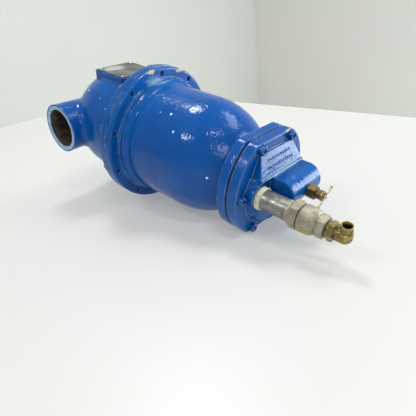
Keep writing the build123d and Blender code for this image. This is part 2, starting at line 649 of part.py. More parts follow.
# ---- pet cock ----------------------------------------------------------------------------------
def cock_body():
    body = rod(COCK_FACE - 11.5, COCK_FACE + 1, 6.8, COCK_Y, SUMP_Z)
    body += hexagon(COCK_FACE + 0.4, COCK_FACE + 11.5, 17.0, COCK_Y, SUMP_Z, turn=20)
    body += rod(COCK_FACE + 11, COCK_FACE + 18.5, 6.3, COCK_Y, SUMP_Z)
    body -= ring(COCK_FACE + 12.6, COCK_FACE + 14.6, 7.5, 5.3, COCK_Y, SUMP_Z)
    body -= rod(COCK_FACE - 12, COCK_FACE + 6, 2.0, COCK_Y, SUMP_Z)
    body -= rod(COCK_FACE + 5, COCK_FACE + 20, 2.9, COCK_Y, SUMP_Z)
    spout = post(SUMP_Z - 8, SUMP_Z, 1.5, COCK_FACE + 9, COCK_Y)
    return body - spout


def cock_packing_nut():
    nut = ring(COCK_FACE + 18.6, COCK_FACE + 22, 6.8, 2.56, COCK_Y, SUMP_Z)
    outer_rim = nut.edges().filter_by(GeomType.CIRCLE).group_by(Axis.X)[-1].sort_by(SortBy.RADIUS)[-1]
    return chamfer(outer_rim, 0.8)


def cock_needle():
    """Loose tip that the spindle pushes onto the seat."""
    seat = COCK_FACE + 5
    return turned_points([(seat - 1.5, 0), (seat - 1.5, 1.0), (seat + 0.05, 1.95), (seat + 1.2, 2.8),
                          (seat + 3, 2.8), (seat + 3, 0)], COCK_Y, SUMP_Z)


def cock_spindle():
    front = COCK_FACE + 8.1
    spindle = rod(front, COCK_FACE + 14, 2.85, COCK_Y, SUMP_Z)
    spindle += rod(front, COCK_FACE + 26, 2.5, COCK_Y, SUMP_Z)
    spindle = chamfer(spindle.edges().sort_by(Axis.X)[-1], 0.6)
    return spindle - handle_bar(1.12, 10)


def handle_bar(radius, half):
    """Round bar across the spindle, at the angle the handle was left."""
    plane = Plane(origin=(COCK_FACE + 23.8, COCK_Y, SUMP_Z), z_dir=(0, 0.824, 0.566))
    return extrude(plane * Circle(radius), half, both=True)


def cock_handle_bar():
    half = 16.3
    bar = handle_bar(1.1, half)
    plane = Plane(origin=(COCK_FACE + 23.8, COCK_Y, SUMP_Z), z_dir=(0, 0.824, 0.566))
    for side in (-1, 1):
        bar += Pos(*(plane.origin + plane.z_dir * side * half)) * Sphere(1.75)
    return bar


# ---- assembly ------------------------------------------------------------------------------------
NODES = {
    "head_casting": head_casting,
    "body_casting": body_casting,
    "trap_cover": trap_cover,
    "head_gasket": head_gasket,
    "cover_gasket": cover_gasket,
    "head_hex_screws": head_hex_screws,
    "cover_cap_screws": cover_cap_screws,
    "nameplate": nameplate,
    "nameplate_drive_screws": nameplate_drive_screws,
    "outlet_tube": outlet_tube,
    "swirl_vane_ring": swirl_vane_ring,
    "baffle_plate": baffle_plate,
    "baffle_screws": baffle_screws,
    "float_bracket": float_bracket,
    "bracket_screws": bracket_screws,
    "float_pivot_pin": float_pivot_pin,
    "pivot_pin_clips": pivot_pin_clips,
    "float_arm": float_arm,
    "float_ball": float_ball,
    "valve_plug": valve_plug,
    "valve_plug_pin": valve_plug_pin,
    "valve_seat": valve_seat,
    "drain_nipple": drain_nipple,
    "check_inlet_end": check_inlet_end,
    "check_body_gasket": check_body_gasket,
    "check_valve_body": check_valve_body,
    "check_poppet": check_poppet,
    "check_poppet_seal": check_poppet_seal,
    "check_spring": check_spring,
    "check_spring_guide": check_spring_guide,
    "hex_bushing": hex_bushing,
    "drain_elbow": drain_elbow,
    "cock_body": cock_body,
    "cock_packing_nut": cock_packing_nut,
    "cock_needle": cock_needle,
    "cock_spindle": cock_spindle,
    "cock_handle_bar": cock_handle_bar,
}


def gathered(piece):
    """One compound from a solid, a part or a list of solids."""
    solids = [solid for item in (piece if isinstance(piece, list) else [piece]) for solid in item.solids()]
    return Compound(solids)


def laid_down(pieces):
    """Move from the working frame to where the object rests, centred on the origin."""
    tilted = {name: Rot(0, TILT, 0) * piece for name, piece in pieces.items()}
    box = Compound([solid for piece in tilted.values() for solid in piece.solids()]).bounding_box()
    move = Pos(-(box.min.X + box.max.X) / 2, -(box.min.Y + box.max.Y) / 2, -box.min.Z)
    print("working frame to row frame: tilt", round(TILT, 4), "shift", move.position)
    return {name: move * piece for name, piece in tilted.items()}


def main():
    os.makedirs("parts", exist_ok=True)
    pieces = {name: gathered(make()) for name, make in NODES.items()}
    for name, piece in laid_down(pieces).items():
        export_step(piece, f"parts/{name}.step")


main()
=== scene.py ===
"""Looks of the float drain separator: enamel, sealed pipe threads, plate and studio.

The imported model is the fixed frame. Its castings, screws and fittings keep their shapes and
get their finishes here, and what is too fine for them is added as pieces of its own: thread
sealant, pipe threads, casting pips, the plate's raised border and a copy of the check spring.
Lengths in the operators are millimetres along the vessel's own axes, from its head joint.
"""

import json
from functools import lru_cache
from math import cos, pi, radians, sin, tau

import bmesh
import bpy
from mathutils import Matrix, Vector, noise
from mathutils.bvhtree import BVHTree


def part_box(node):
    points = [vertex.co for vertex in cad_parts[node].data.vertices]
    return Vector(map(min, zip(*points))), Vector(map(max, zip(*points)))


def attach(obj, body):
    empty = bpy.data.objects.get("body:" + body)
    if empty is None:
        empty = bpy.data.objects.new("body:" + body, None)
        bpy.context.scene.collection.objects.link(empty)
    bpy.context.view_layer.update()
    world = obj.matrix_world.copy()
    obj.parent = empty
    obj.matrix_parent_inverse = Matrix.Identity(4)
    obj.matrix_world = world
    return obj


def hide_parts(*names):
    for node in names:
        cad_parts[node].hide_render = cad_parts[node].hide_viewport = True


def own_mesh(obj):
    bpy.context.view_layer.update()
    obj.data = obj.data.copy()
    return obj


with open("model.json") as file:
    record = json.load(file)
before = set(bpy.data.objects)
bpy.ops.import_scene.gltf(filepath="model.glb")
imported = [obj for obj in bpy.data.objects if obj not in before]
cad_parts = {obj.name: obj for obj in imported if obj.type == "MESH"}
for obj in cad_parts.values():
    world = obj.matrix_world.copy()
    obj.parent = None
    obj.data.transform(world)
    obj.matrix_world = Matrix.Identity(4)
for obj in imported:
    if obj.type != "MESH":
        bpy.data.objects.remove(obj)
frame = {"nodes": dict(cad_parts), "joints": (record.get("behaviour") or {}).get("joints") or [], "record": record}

bl_info = {
    "name": "Float drain separator",
    "version": (1, 0, 0),
    "blender": (4, 5, 0),
    "location": "View3D > Sidebar > Separator",
    "description": "Dresses a cast air separator with float drain: enamel, threads, sealant and studio",
    "category": "Object",
}

MM = 0.001
JOINTS = {joint["name"]: joint for joint in frame["joints"]}
MOUNTS_BY_NAME = {mount["name"]: mount for mount in frame["record"]["mounts"]}
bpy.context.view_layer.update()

# Marks on the enamel: middle (and size or reach) on the vessel's own axes, in millimetres.
HEAD_CHIPS = (((-99, -55, 57.5), 1.6), ((-60, -62, 56), 0.8), ((-40, -70, 47), 0.8))
BODY_CHIPS = (((80, -49.5, 68), 1.7), ((99.4, -65, 53), 1.5), ((161, -65, 8.4), 1.6), ((62, -52, 66), 0.8))
BODY_BARE = (((9, -19, 102.5), (4, 7, 3)), ((8, 38, 95), (4, 11, 3)))
# Pale patch on the flange top: partly scuffs, partly a painted glint.
BODY_SCUFFS_AND_GLINT = (((14, -18, 90), (5, 16, 6)),)
COVER_CHIPS = (((228, -40, 20), 1.2),)
COVER_BARE = (((217, 30, 65), (2.5, 8, 1.8)),)
# Pale line along the cover's ridge lip: partly a worn edge, partly a painted highlight.
COVER_SCUFFS_AND_GLINT = (((236, 0, 26), (4, 50, 2.0)),)
BUSHING_PITCH = 1.411
PORT_WALL = (0.0293, 0.0362)    # radii in metres of a port's bare rim, from its bore to its outside
RIM_DEPTH = 0.0035
PIP_PITCH = 4.8
CAMERA_AT = (0.3979, -0.4122, 0.2846)
CAMERA_YAW, CAMERA_PITCH, CAMERA_ROLL = radians(134.2), radians(27.0), 0.1125
CAMERA_LENS, CAMERA_SENSOR = 34.7, 36.0
TABLE_LEFT, TABLE_BACK, TABLE_FAR = -0.93, 0.58, 3.0
PIP_SIZE = (0.8, 2.2, 3.6)      # how far each plain casting pip stands out, its width and its height


# ---- the vessel's own axes ------------------------------------------------------------------
def vessel_axes():
    """Matrix from the vessel's own axes to the frame's. Its origin is the head joint's middle."""
    along = Vector(JOINTS["check_poppet_slide"]["axis"]).normalized()
    across = Vector((0, 1, 0))
    up = along.cross(across)
    low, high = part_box("head_gasket")
    turned = Matrix((along, across, up)).transposed().to_4x4()
    return Matrix.Translation((low + high) / 2) @ turned


TO_FRAME = vessel_axes()
TO_VESSEL = TO_FRAME.inverted()


def own_points(node):
    """Mesh points of a CAD node on the vessel's own axes, in millimetres."""
    return [TO_VESSEL @ vertex.co / MM for vertex in frame["nodes"][node].data.vertices]


def own_box(node):
    """Lowest and highest corner of a CAD node along the vessel's own axes, in millimetres."""
    points = own_points(node)
    low = Vector([min(point[axis] for point in points) for axis in range(3)])
    high = Vector([max(point[axis] for point in points) for axis in range(3)])
    return low, high


@lru_cache
def surface_of(node):
    """Search tree of a CAD node's surface on the vessel's own axes."""
    faces = [tuple(face.vertices) for face in frame["nodes"][node].data.polygons]
    return BVHTree.FromPolygons(own_points(node), faces)


def touch(node, start, direction):
    """Where a straight line first meets a CAD node, and the way that its surface faces there."""
    place, facing, _, _ = surface_of(node).ray_cast(Vector(start), Vector(direction))
    if place is None:
        raise RuntimeError("nothing of " + node + " lies there")
    return place, facing


def middle(node):
    low, high = own_box(node)
    return (low + high) / 2


# ---- mesh helpers ---------------------------------------------------------------------------
def wire(bm, points, closed=True):
    """Joined edges through points, as the profile that a spin sweeps."""
    verts = [bm.verts.new(point) for point in points]
    pairs = zip(verts, verts[1:] + verts[:1] if closed else verts[1:])
    return verts, [bm.edges.new(pair) for pair in pairs]


def spun(profile, centre, axis=(1, 0, 0), steps=64, closed=True):
    """Ring or turned piece: a profile of (x, y, z) points swept once round an axis."""
    bm = bmesh.new()
    verts, edges = wire(bm, profile, closed)
    bmesh.ops.spin(bm, geom=verts + edges, cent=centre, axis=axis, angle=tau, steps=steps,
                   use_merge=True, use_normal_flip=False, use_duplicate=False, dvec=(0, 0, 0))
    bmesh.ops.remove_doubles(bm, verts=bm.verts, dist=1e-4)
    bmesh.ops.recalc_face_normals(bm, faces=bm.faces)
    return bm


def screw_thread(start, length, radius, depth, pitch, centre, steps=28, inward=False):
    """Raised helical rib of a pipe thread along X, closed at both ends."""
    bm = bmesh.new()
    crest = radius - depth if inward else radius + depth
    root = radius + 0.12 * depth if inward else radius - 0.12 * depth
    y, z = centre
    half = pitch * 0.46
    profile = [(start - half, y, z + root), (start - 0.14 * pitch, y, z + crest),
               (start + 0.14 * pitch, y, z + crest), (start + half, y, z + root)]
    verts, edges = wire(bm, profile)
    turns = length / pitch
    whole = max(1, round(turns * steps))
    bmesh.ops.spin(bm, geom=verts + edges, cent=(0, y, z), axis=(1, 0, 0), angle=tau * whole / steps,
                   steps=whole, dvec=(pitch / steps, 0, 0), use_merge=False,
                   use_normal_flip=False, use_duplicate=False)
    bmesh.ops.holes_fill(bm, edges=[edge for edge in bm.edges if edge.is_boundary], sides=4)
    bmesh.ops.recalc_face_normals(bm, faces=bm.faces)
    return bm


def piece_from(bm, name, body, material, place=None, smooth=True):
    """Turns a bmesh in vessel millimetres into a finished piece that rides on a CAD body."""
    bmesh.ops.scale(bm, vec=(MM, MM, MM), verts=bm.verts)
    bmesh.ops.transform(bm, matrix=place or TO_FRAME, verts=bm.verts)
    mesh = bpy.data.meshes.new(name)
    bm.to_mesh(mesh)
    bm.free()
    for face in mesh.polygons:
        face.use_smooth = smooth
    piece = bpy.data.objects.new(name, mesh)
    bpy.context.scene.collection.objects.link(piece)
    piece.data.materials.append(material)
    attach(piece, body)
    return piece


# ---- shader helpers -------------------------------------------------------------------------
class Shader:
    """Short calls that place shader nodes in a tree and join them."""

    def __init__(self, tree):
        self.tree = tree

    def add(self, kind, inputs=None, **settings):
        node = self.tree.nodes.new(kind)
        for name, value in settings.items():
            setattr(node, name, value)
        for name, value in (inputs or {}).items():
            self.feed(node.inputs[name], value)
        return node

    def feed(self, socket, value):
        if isinstance(value, bpy.types.NodeSocket):
            self.tree.links.new(value, socket)
        else:
            socket.default_value = value

    def math(self, operation, first, second=0.0, clamp=False):
        return self.add("ShaderNodeMath", {0: first, 1: second},
                        operation=operation, use_clamp=clamp).outputs[0]

    def times(self, first, second, clamp=False):
        return self.math("MULTIPLY", first, second, clamp)

    def span(self, value, low, high, to_low=0.0, to_high=1.0):
        """Value carried from low..high to to_low..to_high, held at both ends."""
        return self.add("ShaderNodeMapRange", {0: value, 1: low, 2: high, 3: to_low, 4: to_high},
                        interpolation_type="SMOOTHSTEP").outputs[0]

    def mix(self, amount, first, second, blend="MIX"):
        node = self.add("ShaderNodeMix", data_type="RGBA", blend_type=blend)
        for socket, value in ((node.inputs[0], amount), (node.inputs[6], first), (node.inputs[7], second)):
            self.feed(socket, value)
        return node.outputs[2]

    def noise(self, vector, scale, detail=3.0, rough=0.5, distortion=0.0):
        return self.add("ShaderNodeTexNoise", {"Vector": vector, "Scale": scale, "Detail": detail,
                                               "Roughness": rough, "Distortion": distortion}).outputs["Fac"]

    def placed(self, matrix=None, scale=(1, 1, 1)):
        """Object coordinates carried into another set of axes, in metres."""
        coordinates = self.add("ShaderNodeTexCoord").outputs["Object"]
        matrix = matrix or Matrix.Identity(4)
        return self.add("ShaderNodeMapping", {
            "Vector": coordinates, "Location": matrix.translation,
            "Rotation": matrix.to_euler("XYZ"), "Scale": scale}, vector_type="POINT").outputs[0]

    def group(self, tree, inputs=None):
        node = self.add("ShaderNodeGroup", node_tree=tree)
        for name, value in (inputs or {}).items():
            self.feed(node.inputs[name], value)
        return node.outputs


def new_group(name, inputs, outputs):
    """Empty shader node group with named sockets. Returns it, its Shader, its inputs and output node."""
    tree = bpy.data.node_groups.new(name, "ShaderNodeTree")
    for label, kind, default in inputs:
        socket = tree.interface.new_socket(label, in_out="INPUT", socket_type=kind)
        socket.default_value = default
    for label, kind in outputs:
        tree.interface.new_socket(label, in_out="OUTPUT", socket_type=kind)
    shader = Shader(tree)
    entry = shader.add("NodeGroupInput").outputs
    leave = shader.add("NodeGroupOutput").inputs
    return tree, shader, entry, leave


FLOAT, COLOUR = "NodeSocketFloat", "NodeSocketColor"


def group_named(name, build):
    """The shader node group of that name, built the first time that it is asked for."""
    return bpy.data.node_groups.get(name) or build(name)


def edge_wear_and_glint_group(name):
    """Mask of a solid's rounded edges, broken up by noise: 1 on the edge. The enamel paints it paler, partly as
    worn edges and partly as a painted edge highlight.
    """
    tree, shader, entry, leave = new_group(
        name, [("Width", FLOAT, 0.0015), ("Break-up", FLOAT, 60.0), ("Amount", FLOAT, 0.5)],
        [("Mask", FLOAT)])
    rounded = shader.add("ShaderNodeBevel", {"Radius": entry["Width"]}, samples=6).outputs[0]
    true = shader.add("ShaderNodeNewGeometry").outputs["Normal"]
    facing = shader.add("ShaderNodeVectorMath", {0: rounded, 1: true},
                        operation="DOT_PRODUCT").outputs["Value"]
    edge = shader.span(facing, 0.985, 0.86)
    patches = shader.noise(shader.placed(), entry["Break-up"], 4.0, 0.6)
    threshold = shader.math("SUBTRACT", 1.0, entry["Amount"])
    above = shader.math("SUBTRACT", patches, shader.times(threshold, 0.8))
    broken = shader.span(above, -0.04, 0.14)
    shader.feed(leave["Mask"], shader.times(edge, broken, clamp=True))
    return tree


def corner_shade_and_grime_group(name):
    """Mask of painted shade and grime in inside corners and crevices, from ambient occlusion, broken up by noise:
    1 in the corner.
    """
    tree, shader, entry, leave = new_group(
        name, [("Reach", FLOAT, 0.006), ("Amount", FLOAT, 0.7)], [("Mask", FLOAT)])
    open_sky = shader.add("ShaderNodeAmbientOcclusion", {"Distance": entry["Reach"]},
                          samples=6, only_local=False).outputs["AO"]
    patches = shader.noise(shader.placed(), 140.0, 3.0, 0.6)
    hidden = shader.span(open_sky, 0.72, 0.25)
    mottled = shader.times(hidden, shader.span(patches, 0.2, 0.62, 0.55, 1.0))
    shader.feed(leave["Mask"], shader.times(mottled, entry["Amount"], clamp=True))
    return tree


def cast_surface_group(name):
    """Height of a thick coat on a sand casting: broad unevenness, orange peel, runs and grit."""
    tree, shader, entry, leave = new_group(
        name, [("Swell", FLOAT, 1.0), ("Peel", FLOAT, 1.0), ("Grit", FLOAT, 0.0), ("Runs", FLOAT, 0.0)],
        [("Height", FLOAT)])
    here = shader.placed()
    swell = shader.times(shader.noise(here, 34.0, 2.0, 0.45), entry["Swell"])
    peel = shader.times(shader.noise(here, 210.0, 2.0, 0.5), entry["Peel"])
    grit = shader.times(shader.noise(here, 900.0, 3.0, 0.6), entry["Grit"])
    drawn = shader.placed(scale=(150, 150, 26))
    sag = shader.noise(drawn, 1.0, 2.0, 0.5, 0.3)
    runs = shader.times(shader.span(sag, 0.55, 0.75), entry["Runs"])
    height = shader.math("ADD", shader.math("ADD", swell, peel), shader.math("ADD", grit, runs))
    shader.feed(leave["Height"], height)
    return tree


def specks_group(name):
    """Mask of small scattered chips, one in a few cells of a cell pattern."""
    tree, shader, entry, leave = new_group(
        name, [("Cells", FLOAT, 45.0), ("Size", FLOAT, 0.1), ("Share", FLOAT, 0.2)], [("Mask", FLOAT)])
    cells = shader.add("ShaderNodeTexVoronoi", {"Vector": shader.placed(), "Scale": entry["Cells"]})
    ragged = shader.math("ADD", cells.outputs["Distance"],
                         shader.times(shader.noise(shader.placed(), 700.0, 2.0), 0.06))
    near = shader.math("LESS_THAN", ragged, shader.math("ADD", entry["Size"], 0.03))
    chosen = shader.add("ShaderNodeSeparateColor", {"Color": cells.outputs["Color"]}).outputs[0]
    rare = shader.math("LESS_THAN", chosen, entry["Share"])
    shader.feed(leave["Mask"], shader.times(near, rare))
    return tree


def blotches_group(name):
    """Soft mottling between two colours at two scales."""
    tree, shader, entry, leave = new_group(
        name, [("Light", COLOUR, (1, 1, 1, 1)), ("Dark", COLOUR, (0, 0, 0, 1)),
               ("Scale", FLOAT, 20.0), ("Contrast", FLOAT, 0.5)],
        [("Color", COLOUR), ("Mask", FLOAT)])
    here = shader.placed()
    broad = shader.noise(here, entry["Scale"], 4.0, 0.55)
    fine = shader.noise(here, shader.times(entry["Scale"], 7.0), 3.0, 0.6)
    both = shader.math("ADD", shader.times(broad, 0.7), shader.times(fine, 0.3))
    reach = shader.times(entry["Contrast"], 0.5)
    mask = shader.add("ShaderNodeMapRange", {
        0: both, 1: shader.math("SUBTRACT", 0.5, shader.math("SUBTRACT", 0.52, reach)),
        2: shader.math("ADD", 0.5, shader.math("SUBTRACT", 0.52, reach)), 3: 0.0, 4: 1.0}).outputs[0]
    shader.feed(leave["Color"], shader.mix(mask, entry["Dark"], entry["Light"]))
    shader.feed(leave["Mask"], mask)
    return tree


def mottled(shader, light, dark, scale, contrast):
    """Outputs of the mottling between two colours that a finish starts from."""
    return shader.group(group_named("Blotches", blotches_group), {
        "Light": light, "Dark": dark, "Scale": scale, "Contrast": contrast})


def rounded_normal(shader, height, distance, strength=1.0, radius=0.0012):
    """Bumped normal over edges that are rounded in shading."""
    rounded = shader.add("ShaderNodeBevel", {"Radius": radius}, samples=6).outputs[0]
    return shader.add("ShaderNodeBump", {"Height": height, "Distance": distance, "Strength": strength,
                                         "Normal": rounded}).outputs[0]


def new_material(name):
    """Empty material with a Principled surface. Returns it, its Shader and the surface node."""
    material = bpy.data.materials.new(name)
    material.use_nodes = True
    material.node_tree.nodes.clear()
    shader = Shader(material.node_tree)
    surface = shader.add("ShaderNodeBsdfPrincipled")
    out = shader.add("ShaderNodeOutputMaterial")
    shader.feed(out.inputs["Surface"], surface.outputs[0])
    return material, shader, surface


def dress(nodes, material):
    """Gives CAD nodes a finish."""
    for name in nodes:
        for slot in frame["nodes"][name].material_slots:
            slot.material = material


# ---- patterns placed on the vessel ------------------------------------------------------------
def patch(shader, centre, reach, ragged=0.35, grain=120.0, soft=0.12):
    """Mask of a ragged patch round a point on the vessel's own axes, all in millimetres."""
    own = shader.placed(TO_VESSEL)
    inverse = [1.0 / (size * MM) for size in reach]
    local = shader.add("ShaderNodeMapping", {
        "Vector": own, "Scale": inverse,
        "Location": [-c * MM * s for c, s in zip(centre, inverse)]}, vector_type="POINT").outputs[0]
    distance = shader.add("ShaderNodeVectorMath", {0: local}, operation="LENGTH").outputs["Value"]
    uneven = shader.math("SUBTRACT", shader.noise(own, grain, 4.0, 0.6), 0.5)
    torn = shader.times(uneven, 2 * ragged)
    return shader.span(shader.math("ADD", distance, torn), 1.0 + soft, 1.0 - soft)


def from_axis(shader, point, axis):
    """Distance in metres from a line along one of the vessel's own axes through a point in millimetres."""
    keep = [0.0 if i == axis else 1.0 for i in range(3)]
    local = shader.add("ShaderNodeMapping", {
        "Vector": shader.placed(TO_VESSEL), "Scale": keep,
        "Location": [-c * MM * k for c, k in zip(point, keep)]}, vector_type="POINT").outputs[0]
    return shader.add("ShaderNodeVectorMath", {0: local}, operation="LENGTH").outputs["Value"]


def along(shader, axis):
    """One of the vessel's own coordinates, in metres."""
    return shader.add("ShaderNodeSeparateXYZ", {0: shader.placed(TO_VESSEL)}).outputs[axis]


def painted(shader, colour, mask, paint):
    return shader.mix(mask, colour, paint)


# ---- finishes ---------------------------------------------------------------------------------
def enamel(name, look, wear_and_glint=0.5, grit=0.25, runs=0.35, bare=(), chips=(), bores=False, scuffs_and_glints=()):
    """Thick gloss enamel on a casting: mottling, a dusty film, painted shade and grime in corners, and worn edges
    that are partly painted edge highlights.
    """
    material, shader, surface = new_material(name)
    mottle = mottled(shader, look.main, look.deep, 26.0, 0.35)
    film = shader.span(shader.noise(shader.placed(), 11.0, 4.0, 0.6), 0.42, 0.7)
    colour = shader.mix(shader.times(film, look.film_amount), mottle["Color"], look.film)
    # Painted shade: a darker navy in corners and crevices from ambient occlusion, with some grime; it also dulls
    # the gloss.
    shade_and_grime = shader.group(group_named("Corner shade and grime", corner_shade_and_grime_group), {"Reach": 0.007, "Amount": 0.75})
    colour = painted(shader, colour, shade_and_grime["Mask"], look.shade)
    # Worn edges painted paler: partly worn enamel, partly a painted edge highlight.
    rubbed_and_glint = shader.group(group_named("Edge wear and glint", edge_wear_and_glint_group), {
        "Width": 0.0016, "Break-up": 70.0, "Amount": wear_and_glint})
    colour = painted(shader, colour, shader.times(rubbed_and_glint["Mask"], 0.75), look.thin_and_glint)
    specks = shader.group(group_named("Specks", specks_group), {"Cells": 38.0, "Size": 0.02, "Share": 0.08})
    colour = painted(shader, colour, specks["Mask"], look.chip)
    sheen = shader.noise(shader.placed(), 30.0, 3.0, 0.55)
    gloss = shader.span(sheen, 0.3, 0.75, look.gloss_low, look.gloss_high)
    roughness = shader.math("ADD", gloss, shader.times(shade_and_grime["Mask"], 0.3), clamp=True)
    for centre, size in chips:
        mark = patch(shader, centre, (size, size, size), 0.25, 500.0, 0.2)
        colour = painted(shader, colour, mark, look.chip)
        roughness = shader.math("MAXIMUM", roughness, shader.times(mark, 0.6))
    for centre, reach in bare:
        mark = patch(shader, centre, reach, 0.9, 260.0, 0.1)
        colour = painted(shader, colour, mark, look.primer)
        roughness = shader.math("MAXIMUM", roughness, shader.times(mark, 0.7))
    # Pale patches in the edge colour: partly scuffs, partly a painted glint and highlight.
    for centre, reach in scuffs_and_glints:
        mark = patch(shader, centre, reach, 1.3, 420.0, 0.25)
        colour = painted(shader, colour, shader.times(mark, 0.45), look.thin_and_glint)
    if bores:
        port = TO_VESSEL @ Vector(MOUNTS_BY_NAME["inlet_port"]["pos_m"]) / MM
        face = own_box("head_casting")[1].y * MM
        radius = from_axis(shader, port, 1)
        out = shader.math("ABSOLUTE", along(shader, 1))
        at_port = shader.math("LESS_THAN", radius, PORT_WALL[1])
        front = shader.math("GREATER_THAN", out, face - RIM_DEPTH)
        past_bore = shader.math("GREATER_THAN", radius, PORT_WALL[0])
        rim = shader.times(at_port, shader.times(front, past_bore))
        edge = shader.span(shader.noise(shader.placed(), 160.0, 4.0, 0.6), 0.38, 0.6)
        rubbed_rim = shader.times(rim, shader.math("ADD", 0.55, shader.times(edge, 0.4)))
        colour = painted(shader, colour, rubbed_rim, look.thin_and_glint)
        inner = shader.times(at_port, shader.math("SUBTRACT", 1.0, rim), clamp=True)
        rust = mottled(shader, (0.085, 0.085, 0.080, 1), (0.018, 0.017, 0.016, 1), 60.0, 0.7)
        colour = shader.mix(inner, colour, rust["Color"])
        roughness = shader.math("MAXIMUM", roughness, shader.times(inner, 0.72))
    shader.feed(surface.inputs["Base Color"], colour)
    shader.feed(surface.inputs["Roughness"], roughness)
    surface.inputs["Specular IOR Level"].default_value = 0.27
    height = shader.group(group_named("Cast surface", cast_surface_group), {
        "Swell": 1.0, "Peel": 0.22, "Grit": grit * 0.05, "Runs": runs * 0.4})
    shader.feed(surface.inputs["Normal"], rounded_normal(shader, height["Height"], 0.0013, 1.0, 0.0018))
    return material


def metal(name, light, dark, scale=40.0, contrast=0.6, rough=(0.25, 0.5), metallic=1.0, grit=0.0,
          swell=0.0, shade_and_grime=0.5, shade_and_grime_colour=(0.03, 0.025, 0.018, 1), stains=(), drawn=None, bump=0.0004,
          round_off=0.0006):
    """Bare or plated metal: mottling, grain along the part, painted shade and grime in corners and coloured
    stains.
    """
    material, shader, surface = new_material(name)
    mottle = mottled(shader, light, dark, scale, contrast)
    colour = mottle["Color"]
    # Painted shade in corners and crevices, tinted as grime, which also lowers the metal share.
    corner = shader.group(group_named("Corner shade and grime", corner_shade_and_grime_group), {"Reach": 0.004, "Amount": shade_and_grime})
    colour = painted(shader, colour, corner["Mask"], shade_and_grime_colour)
    metal_share = shader.times(shader.math("SUBTRACT", 1.0, corner["Mask"]), metallic)
    roughness = shader.span(mottle["Mask"], 0.0, 1.0, rough[1], rough[0])
    if drawn:
        lines = shader.noise(shader.placed(TO_VESSEL, drawn), 1.0, 3.0, 0.6)
        colour = shader.mix(shader.span(lines, 0.35, 0.65, 0.0, 0.35), colour, dark)
    for centre, reach, stain, amount in stains:
        mark = shader.times(patch(shader, centre, reach, 0.5, 160.0, 0.3), amount)
        colour = shader.mix(mark, colour, stain)
        clean = shader.math("SUBTRACT", 1.0, shader.times(mark, 0.6))
        metal_share = shader.times(metal_share, clean)
        roughness = shader.math("MAXIMUM", roughness, shader.times(mark, 0.6))
    shader.feed(surface.inputs["Base Color"], colour)
    shader.feed(surface.inputs["Roughness"], roughness)
    shader.feed(surface.inputs["Metallic"], metal_share)
    height = shader.group(group_named("Cast surface", cast_surface_group), {
        "Swell": swell, "Peel": grit, "Grit": grit * 0.4, "Runs": 0.0})
    shader.feed(surface.inputs["Normal"], rounded_normal(shader, height["Height"], bump, 1.0, round_off))
    return material


def plain_coat(name, light, dark, scale, rough, grain=300.0, bump=0.0003, contrast=0.5):
    """Matt material with two-tone mottling and a fine grain: sealant, gasket sheet and rubber."""
    material, shader, surface = new_material(name)
    mottle = mottled(shader, light, dark, scale, contrast)
    shader.feed(surface.inputs["Base Color"], mottle["Color"])
    shader.feed(surface.inputs["Roughness"], shader.span(mottle["Mask"], 0.0, 1.0, rough, rough * 0.75))
    grainy = shader.noise(shader.placed(), grain, 4.0, 0.6)
    shader.feed(surface.inputs["Normal"], rounded_normal(shader, grainy, bump, 1.0, 0.0005))
    return material


# ---- what a user may change -------------------------------------------------------------------
class EnamelLook(bpy.types.PropertyGroup):
    """Colours and condition of the enamel on the castings."""

    main: bpy.props.FloatVectorProperty(
        name="Enamel", description="Main colour of the enamel", subtype="COLOR", size=4,
        min=0.0, max=1.0, default=(0.0006, 0.0860, 0.3500, 1.0))
    deep: bpy.props.FloatVectorProperty(
        name="Deep enamel", description="Colour where the coat is thickest", subtype="COLOR", size=4,
        min=0.0, max=1.0, default=(0.0003, 0.0520, 0.2500, 1.0))
    film: bpy.props.FloatVectorProperty(
        name="Dusty film", description="Colour of the pale film on the enamel", subtype="COLOR", size=4,
        min=0.0, max=1.0, default=(0.0100, 0.1500, 0.4300, 1.0))
    film_amount: bpy.props.FloatProperty(
        name="Film", description="How strongly the pale film shows", subtype="FACTOR",
        min=0.0, max=1.0, default=0.30)
    # Painted shade: colour of the darkening in corners and crevices, with some grime.
    shade: bpy.props.FloatVectorProperty(
        name="Corner shade and grime", description="Colour of the painted shade and grime in corners", subtype="COLOR", size=4,
        min=0.0, max=1.0, default=(0.0030, 0.0120, 0.0500, 1.0))
    # Pale enamel on worn edges and scuffs, partly painted highlights and glints.
    thin_and_glint: bpy.props.FloatVectorProperty(
        name="Thin enamel and glint", description="Colour of rubbed edges and painted edge glints", subtype="COLOR", size=4,
        min=0.0, max=1.0, default=(0.3300, 0.5300, 0.6800, 1.0))
    primer: bpy.props.FloatVectorProperty(
        name="Bare patch", description="Colour where the enamel has come off", subtype="COLOR", size=4,
        min=0.0, max=1.0, default=(0.4200, 0.3900, 0.2700, 1.0))
    chip: bpy.props.FloatVectorProperty(
        name="Chip", description="Colour of small chips and specks", subtype="COLOR", size=4,
        min=0.0, max=1.0, default=(0.7500, 0.7800, 0.7800, 1.0))
    gloss_low: bpy.props.FloatProperty(
        name="Smoothest", description="Roughness of the glossiest enamel", subtype="FACTOR",
        min=0.0, max=1.0, default=0.09)
    gloss_high: bpy.props.FloatProperty(
        name="Dullest", description="Roughness of the dullest enamel", subtype="FACTOR",
        min=0.0, max=1.0, default=0.22)


class SealantSizes(bpy.types.PropertyGroup):
    """Sizes of the squeezed-out thread sealant."""

    collar_width: bpy.props.FloatProperty(
        name="Collar width", description="How far the collar stands out along the nipple, in metres",
        subtype="DISTANCE", unit="LENGTH", default=0.008)
    collar_proud: bpy.props.FloatProperty(
        name="Collar height", description="How far the collar stands off the nipple, in metres",
        subtype="DISTANCE", unit="LENGTH", default=0.0024)


